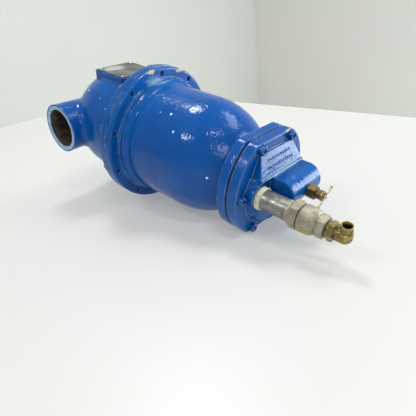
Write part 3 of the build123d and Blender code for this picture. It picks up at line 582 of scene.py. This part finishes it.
class ThreadSizes(bpy.types.PropertyGroup):
    """Pitches of the pipe threads."""

    port_pitch: bpy.props.FloatProperty(
        name="Port pitch", description="Pitch of the 2 inch pipe thread, in metres",
        subtype="DISTANCE", unit="LENGTH", default=0.002209)
    nipple_pitch: bpy.props.FloatProperty(
        name="Nipple pitch", description="Pitch of the 3/4 inch pipe thread, in metres",
        subtype="DISTANCE", unit="LENGTH", default=0.001814)
    tube_pitch: bpy.props.FloatProperty(
        name="Tube nut pitch", description="Pitch of the compression thread, in metres",
        subtype="DISTANCE", unit="LENGTH", default=0.001058)


class StudioSizes(bpy.types.PropertyGroup):
    """Table, walls and lights round the object."""

    table: bpy.props.FloatVectorProperty(
        name="Table", description="Colour of the table top", subtype="COLOR", size=4,
        min=0.0, max=1.0, default=(0.44, 0.44, 0.425, 1.0))
    wall: bpy.props.FloatVectorProperty(
        name="Wall", description="Colour of the walls", subtype="COLOR", size=4,
        min=0.0, max=1.0, default=(0.72, 0.72, 0.68, 1.0))
    key_power: bpy.props.FloatProperty(
        name="Key light", description="Power of the main soft light", unit="POWER", default=7.5)
    fill_power: bpy.props.FloatProperty(
        name="Fill light", description="Power of the fill light", unit="POWER", default=2.8)
    table_glow: bpy.props.FloatProperty(
        name="Table glow", description="How much light the table gives off, which softens shadows",
        subtype="FACTOR", min=0.0, max=1.0, default=0.26)
    sky: bpy.props.FloatProperty(
        name="Room light", description="Strength of the even light of the room", default=0.46)


# ---- finishes of the CAD parts -----------------------------------------------------------------
class SEPARATOR_OT_enamel(bpy.types.Operator):
    """Enamels the three castings and the cap screws that were painted with them"""
    bl_idname = "separator.enamel"
    bl_label = "Enamel the castings"

    def execute(self, context):
        look = context.scene.separator_enamel
        dress(["head_casting"], enamel("Enamelled head", look, wear_and_glint=0.5, bores=True,
                                       chips=HEAD_CHIPS))
        dress(["body_casting"], enamel("Enamelled body", look, wear_and_glint=0.45, chips=BODY_CHIPS,
                                       bare=BODY_BARE, scuffs_and_glints=BODY_SCUFFS_AND_GLINT))
        dress(["trap_cover"], enamel("Enamelled cover", look, wear_and_glint=0.62, grit=0.5, chips=COVER_CHIPS,
                                     bare=COVER_BARE, scuffs_and_glints=COVER_SCUFFS_AND_GLINT))
        dress(["head_hex_screws", "cover_cap_screws"], enamel("Enamelled screws", look, wear_and_glint=0.4))
        return {"FINISHED"}


class SEPARATOR_OT_gaskets(bpy.types.Operator):
    """Gives the sheet gaskets and seals their dark compressed-fibre finish"""
    bl_idname = "separator.gaskets"
    bl_label = "Finish the gaskets"

    def execute(self, context):
        fibre = plain_coat("Gasket fibre", (0.030, 0.036, 0.050, 1), (0.006, 0.008, 0.014, 1), 90.0, 0.85)
        dress(["head_gasket", "cover_gasket", "check_body_gasket", "check_poppet_seal"], fibre)
        return {"FINISHED"}


class SEPARATOR_OT_drain_line(bpy.types.Operator):
    """Finishes the nipple, check valve, bushing and elbow of the drain line"""
    bl_idname = "separator.drain_line"
    bl_label = "Finish the drain line"

    def execute(self, context):
        end = own_box("drain_nipple")[1].x
        y, z = middle("drain_nipple").yz
        sealant = (0.62, 0.60, 0.44, 1)
        dress(["drain_nipple"], metal(
            "Galvanised pipe", (0.40, 0.40, 0.37, 1), (0.15, 0.15, 0.135, 1), 70.0, 0.75, (0.30, 0.50), 0.75,
            grit=0.2, swell=0.3, shade_and_grime=0.25, drawn=(30, 900, 900), round_off=0.0005,
            stains=[((end - 12, y, z), (5, 17, 17), sealant, 0.55)]))
        valve_low, valve_high = own_box("check_valve_body")
        valve = metal(
            "Dull cast steel", (0.47, 0.44, 0.34, 1), (0.22, 0.20, 0.14, 1), 55.0, 0.7, (0.42, 0.62), 0.55,
            grit=1.0, swell=0.6, shade_and_grime=0.55, bump=0.0005, round_off=0.0010,
            stains=[((valve_low.x + 12, y - 8, z - 12), (9, 15, 11), (0.42, 0.36, 0.06, 1), 0.85),
                    ((valve_high.x - 4, y, z), (3.5, 18, 18), (0.45, 0.42, 0.30, 1), 0.4)])
        dress(["check_valve_body", "check_inlet_end"], valve)
        brass = metal(
            "Worn brass", (0.40, 0.32, 0.13, 1), (0.14, 0.105, 0.036, 1), 90.0, 0.75, (0.26, 0.48), 1.0,
            grit=0.35, shade_and_grime=0.85, shade_and_grime_colour=(0.035, 0.025, 0.010, 1), bump=0.0003, round_off=0.0006)
        dress(["hex_bushing", "drain_elbow", "check_poppet"], brass)
        return {"FINISHED"}


class SEPARATOR_OT_pet_cock(bpy.types.Operator):
    """Finishes the pet cock in weathered bronze, with a plated wire handle"""
    bl_idname = "separator.pet_cock"
    bl_label = "Finish the pet cock"

    def execute(self, context):
        bronze = metal(
            "Weathered bronze", (0.27, 0.21, 0.10, 1), (0.09, 0.065, 0.028, 1), 120.0, 0.8, (0.30, 0.52), 1.0,
            grit=0.4, shade_and_grime=0.9, shade_and_grime_colour=(0.025, 0.016, 0.008, 1), bump=0.0003, round_off=0.0005)
        dress(["cock_body"], bronze)
        nut = metal(
            "Turned brass", (0.46, 0.36, 0.16, 1), (0.18, 0.13, 0.05, 1), 130.0, 0.6, (0.22, 0.42), 1.0,
            shade_and_grime=0.85, shade_and_grime_colour=(0.030, 0.020, 0.010, 1), drawn=(2600, 60, 60), round_off=0.0004)
        dress(["cock_packing_nut", "cock_needle"], nut)
        low, high = own_box("cock_handle_bar")
        centre = middle("cock_handle_bar")
        ends = [((centre.x, y, z), (4, 4, 4), (0.42, 0.40, 0.05, 1), 0.8)
                for y, z in ((low.y, low.z), (low.y, high.z), (high.y, low.z), (high.y, high.z))]
        wire_metal = metal(
            "Plated wire", (0.62, 0.60, 0.52, 1), (0.26, 0.24, 0.18, 1), 160.0, 0.7, (0.25, 0.45), 1.0,
            shade_and_grime=0.4, round_off=0.0003, stains=ends)
        dress(["cock_spindle", "cock_handle_bar"], wire_metal)
        return {"FINISHED"}


class SEPARATOR_OT_inner_works(bpy.types.Operator):
    """Finishes the trap's inner works in lightly stained stainless steel"""
    bl_idname = "separator.inner_works"
    bl_label = "Finish the inner works"

    def execute(self, context):
        stained = metal(
            "Stained stainless steel", (0.60, 0.59, 0.57, 1), (0.32, 0.28, 0.22, 1), 45.0, 0.6, (0.22, 0.42),
            metallic=1.0, shade_and_grime=0.6, drawn=(40, 700, 700), round_off=0.0004)
        dress(["float_bracket", "bracket_screws", "float_pivot_pin", "pivot_pin_clips", "float_arm",
               "valve_plug", "valve_plug_pin", "valve_seat", "check_spring_guide",
               "baffle_screws"], stained)
        dress(["float_ball"], metal(
            "Spun stainless float", (0.66, 0.65, 0.62, 1), (0.42, 0.38, 0.30, 1), 25.0, 0.5, (0.16, 0.34),
            metallic=1.0, shade_and_grime=0.3, drawn=(1400, 40, 40), round_off=0.0004))
        dress(["outlet_tube", "swirl_vane_ring", "baffle_plate"], metal(
            "Oxidised sheet steel", (0.30, 0.26, 0.20, 1), (0.10, 0.07, 0.045, 1), 60.0, 0.8, (0.40, 0.70),
            metallic=0.8, grit=0.8, swell=0.4, shade_and_grime=0.8, round_off=0.0005))
        return {"FINISHED"}


class SEPARATOR_OT_check_spring(bpy.types.Operator):
    """Puts a copy of the check spring, riding on the vessel, in place of the stiff one"""
    bl_idname = "separator.check_spring"
    bl_label = "Make the check spring"

    def execute(self, context):
        mesh = bpy.data.meshes.new("check_spring_coil")
        bm = bmesh.new()
        bm.from_mesh(frame["nodes"]["check_spring"].data)
        bmesh.ops.remove_doubles(bm, verts=bm.verts, dist=1e-6)
        bm.to_mesh(mesh)
        bm.free()
        mesh.materials.clear()
        mesh.materials.append(bpy.data.materials["Stained stainless steel"])
        spring = bpy.data.objects.new("check_spring_coil", mesh)
        context.scene.collection.objects.link(spring)
        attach(spring, "vessel")
        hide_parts("check_spring")
        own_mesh(spring)
        return {"FINISHED"}


class SEPARATOR_OT_plate(bpy.types.Operator):
    """Finishes the plate and its drive screws, and adds the plate's raised border"""
    bl_idname = "separator.plate"
    bl_label = "Finish the plate"

    def execute(self, context):
        low, high = own_box("nameplate")
        centre = (low + high) / 2
        material, shader, surface = new_material("Smudged aluminium")
        mottle = mottled(shader, (0.23, 0.235, 0.23, 1), (0.09, 0.095, 0.09, 1), 50.0, 0.75)
        own = shader.placed(TO_VESSEL)
        rows = shader.add("ShaderNodeTexBrick", {
            "Vector": own, "Scale": 1.0, "Mortar Size": 0.0011, "Mortar Smooth": 0.2, "Bias": 0.0,
            "Brick Width": 0.0075, "Row Height": 0.0034, "Color1": (1, 1, 1, 1), "Color2": (0.2, 0.2, 0.2, 1),
            "Mortar": (0, 0, 0, 1)}, offset=0.37, squash=1.0).outputs["Color"]
        ink = shader.add("ShaderNodeSeparateColor", {0: rows}).outputs[0]
        field = patch(shader, tuple(centre), (20, 24, 30), 0.25, 60.0, 0.08)
        smudge = shader.span(shader.noise(own, 75.0, 4.0, 0.65), 0.36, 0.62)
        printed = shader.times(shader.times(ink, field), smudge)
        wiped = patch(shader, (low.x + 14, low.y + 24, high.z), (11, 17, 30), 0.45, 60.0, 0.3)
        colour = shader.mix(shader.times(printed, 0.7), mottle["Color"], (0.045, 0.048, 0.050, 1))
        colour = shader.mix(shader.times(wiped, 0.6), colour, (0.66, 0.66, 0.63, 1))
        sideways = shader.math("ABSOLUTE", shader.math("SUBTRACT", along(shader, 1), centre.y * MM))
        rim = shader.math("GREATER_THAN", sideways, (high.y - low.y) / 2 * MM - 0.0016)
        overspray = shader.times(rim, shader.span(shader.noise(own, 130.0, 3.0), 0.40, 0.55))
        enamel_colour = context.scene.separator_enamel.main
        colour = shader.mix(shader.times(overspray, 0.85), colour, enamel_colour)
        shader.feed(surface.inputs["Base Color"], colour)
        inked = shader.times(printed, 0.6)
        shader.feed(surface.inputs["Metallic"], shader.math("SUBTRACT", 0.75, inked, True))
        shader.feed(surface.inputs["Roughness"], shader.span(mottle["Mask"], 0.0, 1.0, 0.5, 0.32))
        lift = shader.math("ADD", shader.times(ink, -0.25), shader.noise(own, 260.0, 3.0))
        shader.feed(surface.inputs["Normal"], rounded_normal(shader, lift, 0.00025, 1.0, 0.0004))
        dress(["nameplate"], material)
        rivet = metal("Bright rivet", (0.80, 0.79, 0.76, 1), (0.45, 0.44, 0.40, 1), 200.0, 0.5, (0.22, 0.4),
                      metallic=1.0, shade_and_grime=0.5, round_off=0.0004)
        dress(["nameplate_drive_screws"], rivet)

        bm = bmesh.new()
        bmesh.ops.create_grid(bm, x_segments=1, y_segments=1, size=0.5)
        bmesh.ops.scale(bm, vec=(high.x - low.x - 1.2, high.y - low.y - 1.2, 1), verts=bm.verts)
        inner = bmesh.ops.inset_region(bm, faces=bm.faces[:], thickness=1.6, use_even_offset=True,
                                       use_boundary=True)
        middle_face = [face for face in bm.faces if face not in inner["faces"]]
        bmesh.ops.delete(bm, geom=middle_face, context="FACES")
        raised = bmesh.ops.extrude_face_region(bm, geom=bm.faces[:])
        top = [item for item in raised["geom"] if isinstance(item, bmesh.types.BMVert)]
        bmesh.ops.translate(bm, vec=(0, 0, 0.28), verts=top)
        bmesh.ops.recalc_face_normals(bm, faces=bm.faces)
        bmesh.ops.translate(bm, vec=(centre.x, centre.y, high.z - 0.04), verts=bm.verts)
        piece_from(bm, "plate_border", "vessel", material, smooth=False)
        return {"FINISHED"}


# ---- pieces of their own ------------------------------------------------------------------------
def sealant_material():
    name = "Cured thread sealant"
    return bpy.data.materials.get(name) or plain_coat(
        name, (0.76, 0.75, 0.58, 1), (0.44, 0.44, 0.33, 1), 130.0, 0.55, 420.0, 0.0005, 0.7)


def smear(name, start, length, radius, proud, centre, seed, material=None):
    """Lumpy ring of sealant squeezed out round a pipe."""
    y, z = centre
    profile = [(start, y, z + radius - 0.3)]
    for step in range(7):
        share = step / 6
        lift = proud * (sin(pi * (0.08 + 0.84 * share)) ** 0.7)
        profile.append((start + length * share, y, z + radius + lift))
    profile.append((start + length, y, z + radius - 0.3))
    bm = spun(profile, (0, y, z), steps=72)
    bm.normal_update()
    for vertex in bm.verts:
        out = Vector((0, vertex.co.y - y, vertex.co.z - z))
        if out.length > radius - 0.1:
            lump = noise.noise(Vector((vertex.co.x * 0.13 + seed, out.y * 0.16, out.z * 0.16)))
            fine = noise.noise(Vector((vertex.co.x * 0.5, out.y * 0.5 + seed, out.z * 0.5)))
            lift = out.length - radius
            wanted = max(0.0, lift * (1 + 0.9 * lump + 0.35 * fine))
            vertex.co += out.normalized() * (wanted - lift)
            vertex.co.x += 0.9 * lump + 0.3 * fine
    bmesh.ops.recalc_face_normals(bm, faces=bm.faces)
    return piece_from(bm, name, "vessel", material or sealant_material())


class SEPARATOR_OT_thread_sealant(bpy.types.Operator):
    """Adds the thread sealant squeezed out at each screwed joint of the drain line"""
    bl_idname = "separator.thread_sealant"
    bl_label = "Add the thread sealant"

    def execute(self, context):
        sizes = context.scene.separator_sealant
        line = middle("drain_nipple")
        centre = (line.y, line.z)
        radius = (own_box("drain_nipple")[1].y - own_box("drain_nipple")[0].y) / 2
        face = touch("trap_cover", (400, line.y, line.z + radius + 1.5), (-1, 0, 0))[0].x
        smear("sealant_collar", face - 1.2, sizes.collar_width / MM, radius,
              sizes.collar_proud / MM, centre, 3.1)
        hexagon = own_box("check_inlet_end")[0].x
        dried = plain_coat("Dried sealant", (0.36, 0.34, 0.24, 1), (0.14, 0.125, 0.085, 1),
                           170.0, 0.75, 420.0, 0.0005, 0.8)
        smear("sealant_at_check_valve", hexagon - 3.2, 3.8, radius, 0.9, centre, 7.7, material=dried)
        elbow_x = own_box("hex_bushing")[1].x
        neck = touch("drain_elbow", (elbow_x + 1, line.y, line.z + 40), (0, 0, -1))[0].z - line.z
        smear("sealant_at_elbow", elbow_x - 0.6, 1.8, neck - 0.2, 0.35, centre, 1.3,
              material=dried)
        low, high = own_box("cock_body")
        cock_y, cock_z = (low.y + high.y) / 2, (low.z + high.z) / 2
        half = (high.y - low.y) / 2
        cock_face = touch("trap_cover", (400, cock_y, cock_z + half + 1), (-1, 0, 0))[0].x
        smear("enamel_at_pet_cock", cock_face - 0.8, 1.6, half - 2.2, 0.8, (cock_y, cock_z), 5.2,
              material=bpy.data.materials["Enamelled cover"])
        return {"FINISHED"}


class SEPARATOR_OT_pipe_threads(bpy.types.Operator):
    """Cuts the visible pipe threads: nipple, valve outlet, elbow and tube connection"""
    bl_idname = "separator.pipe_threads"
    bl_label = "Add the pipe threads"

    def execute(self, context):
        sizes = context.scene.separator_threads
        line = middle("drain_nipple")
        nipple_low, nipple_high = own_box("drain_nipple")
        radius = (nipple_high.y - nipple_low.y) / 2
        hexagon = own_box("check_inlet_end")[0].x
        bm = screw_thread(hexagon - 9.5, 9.0, radius, 0.42, sizes.nipple_pitch / MM, (line.y, line.z))
        piece_from(bm, "nipple_thread", "vessel", bpy.data.materials["Galvanised pipe"])

        dark = metal("Thread in dried sealant", (0.26, 0.24, 0.12, 1), (0.05, 0.05, 0.03, 1), 160.0, 0.8,
                     (0.35, 0.6), 0.7, shade_and_grime=0.9, round_off=0.0003)
        valve_end = own_box("check_valve_body")[1].x
        bushing_end = own_box("hex_bushing")[1].x
        rod = touch("hex_bushing", (valve_end + 1, line.y, line.z + 40), (0, 0, -1))[0].z - line.z
        hexagon_start = min(point.x for point in own_points("hex_bushing")
                            if Vector((point.y - line.y, point.z - line.z)).length > rod + 0.5)
        bm = screw_thread(valve_end + 0.2, hexagon_start - valve_end - 1.6, rod, 0.55, BUSHING_PITCH,
                          (line.y, line.z))
        piece_from(bm, "bushing_thread", "vessel", dark)
        neck = touch("drain_elbow", (bushing_end + 1, line.y, line.z + 40), (0, 0, -1))[0].z - line.z
        bm = screw_thread(bushing_end, 2.2, neck, 0.4, BUSHING_PITCH, (line.y, line.z))
        piece_from(bm, "elbow_thread", "vessel", dark)

        mouth = MOUNTS_BY_NAME["drain_tube_thread"]
        radius, length = mouth["dims"]["r_mm"], mouth["dims"]["length_mm"]
        pitch = sizes.tube_pitch / MM
        bm = screw_thread(-length / 2 + 1.6, length - 3.6, radius, 0.32, pitch, (0, 0), steps=24)
        out = Vector(mouth["axis"])
        place = Matrix.Translation(Vector(mouth["pos_m"])) @ out.to_track_quat("X", "Z").to_matrix().to_4x4()
        piece_from(bm, "tube_nut_thread", "vessel", bpy.data.materials["Worn brass"], place)
        return {"FINISHED"}


class SEPARATOR_OT_port_threads(bpy.types.Operator):
    """Cuts the pipe thread inside both ports"""
    bl_idname = "separator.port_threads"
    bl_label = "Add the port threads"

    def execute(self, context):
        pitch = context.scene.separator_threads.port_pitch / MM
        rusty = metal("Rusty thread", (0.16, 0.125, 0.085, 1), (0.030, 0.022, 0.016, 1), 80.0, 0.8,
                      (0.45, 0.75), 0.75, grit=0.8, shade_and_grime=0.8, round_off=0.0004)
        for name in ("inlet_port", "outlet_port"):
            mount = MOUNTS_BY_NAME[name]
            centre = TO_VESSEL @ Vector(mount["pos_m"]) / MM
            radius, length = mount["dims"]["r_mm"], mount["dims"]["length_mm"]
            bm = screw_thread(-length / 2 + 0.6, length - 1.2 - pitch, radius, 1.1, pitch, (0, 0),
                              steps=56, inward=True)
            turned = Matrix.Rotation(radians(90 if centre.y > 0 else -90), 4, "Z")
            place = TO_FRAME @ Matrix.Translation(centre * MM) @ turned
            piece_from(bm, name + "_thread", "vessel", rusty, place)
        return {"FINISHED"}


def add_pip(bm, middle_point, out, across, size):
    """Small rounded bar that stands up from a cast face."""
    proud, wide, tall = size
    made = bmesh.ops.create_cube(bm, size=1.0)
    up = out.cross(across).normalized()
    turned = Matrix((out, across, up)).transposed().to_4x4()
    frame_of_pip = Matrix.Translation(middle_point) @ turned @ Matrix.Diagonal((2 * proud, wide, tall, 1))
    bmesh.ops.transform(bm, matrix=frame_of_pip, verts=made["verts"])
    edges = {edge for vertex in made["verts"] for edge in vertex.link_edges}
    bmesh.ops.bevel(bm, geom=list(edges), offset=0.42, offset_type="OFFSET", affect="EDGES",
                    segments=2, profile=0.5, material=-1)


class SEPARATOR_OT_casting_marks(bpy.types.Operator):
    """Adds rows of plain, identical casting pips on the cover's sloping block and low on its face"""
    bl_idname = "separator.casting_marks"
    bl_label = "Add the casting marks"

    def execute(self, context):
        finish = bpy.data.materials["Enamelled cover"]
        rows = {"casting_marks_on_block": ((43.0, 0.0, 24.0), (34.5, 0.0, 27.0)),
                "casting_marks_low": ((-46.0, -20.0, 14.0),)}
        for name, lines in rows.items():
            bm = bmesh.new()
            for height, centre, half in lines:
                count = round(2 * half / PIP_PITCH) + 1
                for index in range(count):
                    sideways = centre - half + 2 * half * index / (count - 1)
                    place, facing = touch("trap_cover", (400, sideways, height), (-1, 0, 0))
                    add_pip(bm, place, facing, Vector((0, 1, 0)), PIP_SIZE)
            piece_from(bm, name, "vessel", finish)
        return {"FINISHED"}


# ---- the studio ----------------------------------------------------------------------------------
def flat_quad(name, corners, material):
    """Four-cornered sheet of the studio."""
    bm = bmesh.new()
    bm.faces.new([bm.verts.new(corner) for corner in corners])
    mesh = bpy.data.meshes.new(name)
    bm.to_mesh(mesh)
    bm.free()
    sheet = bpy.data.objects.new(name, mesh)
    bpy.context.scene.collection.objects.link(sheet)
    mesh.materials.append(material)
    return sheet


def studio_paint(name, colour, rough=0.6, uneven=0.02, glow=0.0):
    """Plain pale surface, very slightly uneven in tone."""
    material, shader, surface = new_material(name)
    tone = shader.noise(shader.placed(), 2.5, 2.0, 0.5)
    light = tuple(min(1.0, c * (1 + uneven)) for c in colour[:3]) + (1.0,)
    dark = tuple(c * (1 - uneven) for c in colour[:3]) + (1.0,)
    shader.feed(surface.inputs["Base Color"], shader.mix(tone, dark, light))
    surface.inputs["Roughness"].default_value = rough
    surface.inputs["Emission Color"].default_value = (1.0, 0.995, 0.975, 1.0)
    surface.inputs["Emission Strength"].default_value = glow
    return material


def soft_light(name, target, azimuth, elevation, distance, size, power, tint=(1, 1, 1)):
    """Rectangular light that faces a target from a direction seen from it."""
    a, e = radians(azimuth), radians(elevation)
    towards = Vector((cos(a) * cos(e), sin(a) * cos(e), sin(e)))
    lamp = bpy.data.lights.new(name, "AREA")
    lamp.shape, lamp.size, lamp.size_y = "RECTANGLE", size[0], size[1]
    lamp.energy, lamp.color = power, tint
    light = bpy.data.objects.new(name, lamp)
    light.location = target + towards * distance
    light.rotation_euler = towards.to_track_quat("Z", "Y").to_euler()
    bpy.context.scene.collection.objects.link(light)


class SEPARATOR_OT_studio(bpy.types.Operator):
    """Sets the pale table, the walls, the soft lights and the camera"""
    bl_idname = "separator.studio"
    bl_label = "Set the studio"

    def execute(self, context):
        sizes = context.scene.separator_studio
        top = studio_paint("Table top", sizes.table, 0.42, glow=sizes.table_glow)
        wall = studio_paint("Wall", sizes.wall, 0.9)
        flat_quad("table_top", [(TABLE_LEFT, -TABLE_FAR, 0), (TABLE_FAR, -TABLE_FAR, 0),
                                (TABLE_FAR, TABLE_BACK, 0), (TABLE_LEFT, TABLE_BACK, 0)], top)
        flat_quad("room_floor", [(-4, -4, -0.75), (4, -4, -0.75), (4, 4, -0.75), (-4, 4, -0.75)], wall)
        flat_quad("left_wall", [(-2.4, -4, -0.75), (-1.75, 2.6, -0.75), (-1.75, 2.6, 3), (-2.4, -4, 3)], wall)
        # Painted light: the far wall is a copy of the wall colour made 16 % lighter, a lit copy of the same wall
        # paint.
        far = studio_paint("Far wall painted lighter", tuple(c * 1.16 for c in sizes.wall[:3]) + (1,), 0.9)
        flat_quad("far_wall", [(-1.75, 2.6, -0.75), (4, 1.9, -0.75), (4, 1.9, 3), (-1.75, 2.6, 3)], far)
        middle_point = Vector((0.0, 0.0, 0.10))
        key, fill = sizes.key_power, sizes.fill_power
        soft_light("overhead", middle_point, 150, 67, 1.6, (0.36, 0.30), key * 1.5)
        soft_light("near_side", middle_point, -103, 47, 1.6, (0.24, 0.20), fill * 1.6)
        soft_light("behind_camera", middle_point, -27, 61, 1.7, (0.30, 0.24), fill * 2.0)
        soft_light("low_behind_camera", middle_point, -29, 33, 1.7, (0.5, 0.4), fill * 1.6)
        soft_light("far_side", middle_point, 62, 51, 1.8, (0.9, 0.5), key * 1.1)
        soft_light("window", middle_point, 56, 4, 2.3, (1.3, 1.2), key * 6.5, (0.86, 0.97, 1.0))
        world = bpy.data.worlds.new("Room")
        world.use_nodes = True
        ground = world.node_tree.nodes["Background"]
        ground.inputs["Color"].default_value = (0.96, 0.985, 1.0, 1)
        ground.inputs["Strength"].default_value = sizes.sky
        context.scene.world = world
        context.scene.view_settings.view_transform = "Standard"

        yaw, pitch, roll = CAMERA_YAW, CAMERA_PITCH, CAMERA_ROLL
        forward = Vector((cos(pitch) * cos(yaw), cos(pitch) * sin(yaw), -sin(pitch)))
        right = Vector((sin(yaw), -cos(yaw), 0))
        down = forward.cross(right)
        across = cos(roll) * right + sin(roll) * down
        upright = -(cos(roll) * down - sin(roll) * right)
        data = bpy.data.cameras.new("Camera")
        data.lens, data.sensor_width = CAMERA_LENS, CAMERA_SENSOR
        data.dof.use_dof = False
        camera = bpy.data.objects.new("Camera", data)
        camera.matrix_world = Matrix.Translation(CAMERA_AT) @ Matrix(
            (across, upright, -forward)).transposed().to_4x4()
        context.scene.collection.objects.link(camera)
        context.scene.camera = camera
        return {"FINISHED"}


class SEPARATOR_PT_panel(bpy.types.Panel):
    """Lists the pieces and their settings"""
    bl_idname = "SEPARATOR_PT_panel"
    bl_label = "Separator"
    bl_space_type = "VIEW_3D"
    bl_region_type = "UI"
    bl_category = "Separator"

    def draw(self, context):
        layout = self.layout
        scene = context.scene
        for settings in (scene.separator_enamel, scene.separator_sealant,
                         scene.separator_threads, scene.separator_studio):
            box = layout.box()
            for name in settings.bl_rna.properties.keys():
                if name not in ("rna_type", "name"):
                    box.prop(settings, name)
        for operator in OPERATORS:
            layout.operator(operator.bl_idname)


SETTINGS = {
    "separator_enamel": EnamelLook,
    "separator_sealant": SealantSizes,
    "separator_threads": ThreadSizes,
    "separator_studio": StudioSizes,
}
OPERATORS = (
    SEPARATOR_OT_enamel, SEPARATOR_OT_gaskets, SEPARATOR_OT_drain_line, SEPARATOR_OT_pet_cock,
    SEPARATOR_OT_inner_works, SEPARATOR_OT_check_spring, SEPARATOR_OT_plate, SEPARATOR_OT_thread_sealant,
    SEPARATOR_OT_pipe_threads, SEPARATOR_OT_port_threads, SEPARATOR_OT_casting_marks,
    SEPARATOR_OT_studio,
)


def register():
    for kind in (*SETTINGS.values(), *OPERATORS, SEPARATOR_PT_panel):
        bpy.utils.register_class(kind)
    for name, kind in SETTINGS.items():
        setattr(bpy.types.Scene, name, bpy.props.PointerProperty(type=kind))


def unregister():
    for name in SETTINGS:
        delattr(bpy.types.Scene, name)
    for kind in reversed((*SETTINGS.values(), *OPERATORS, SEPARATOR_PT_panel)):
        bpy.utils.unregister_class(kind)


def main():
    register()
    for operator in OPERATORS:
        group, name = operator.bl_idname.split(".")
        getattr(getattr(bpy.ops, group), name)()
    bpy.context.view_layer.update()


if __name__ == "__main__":
    main()
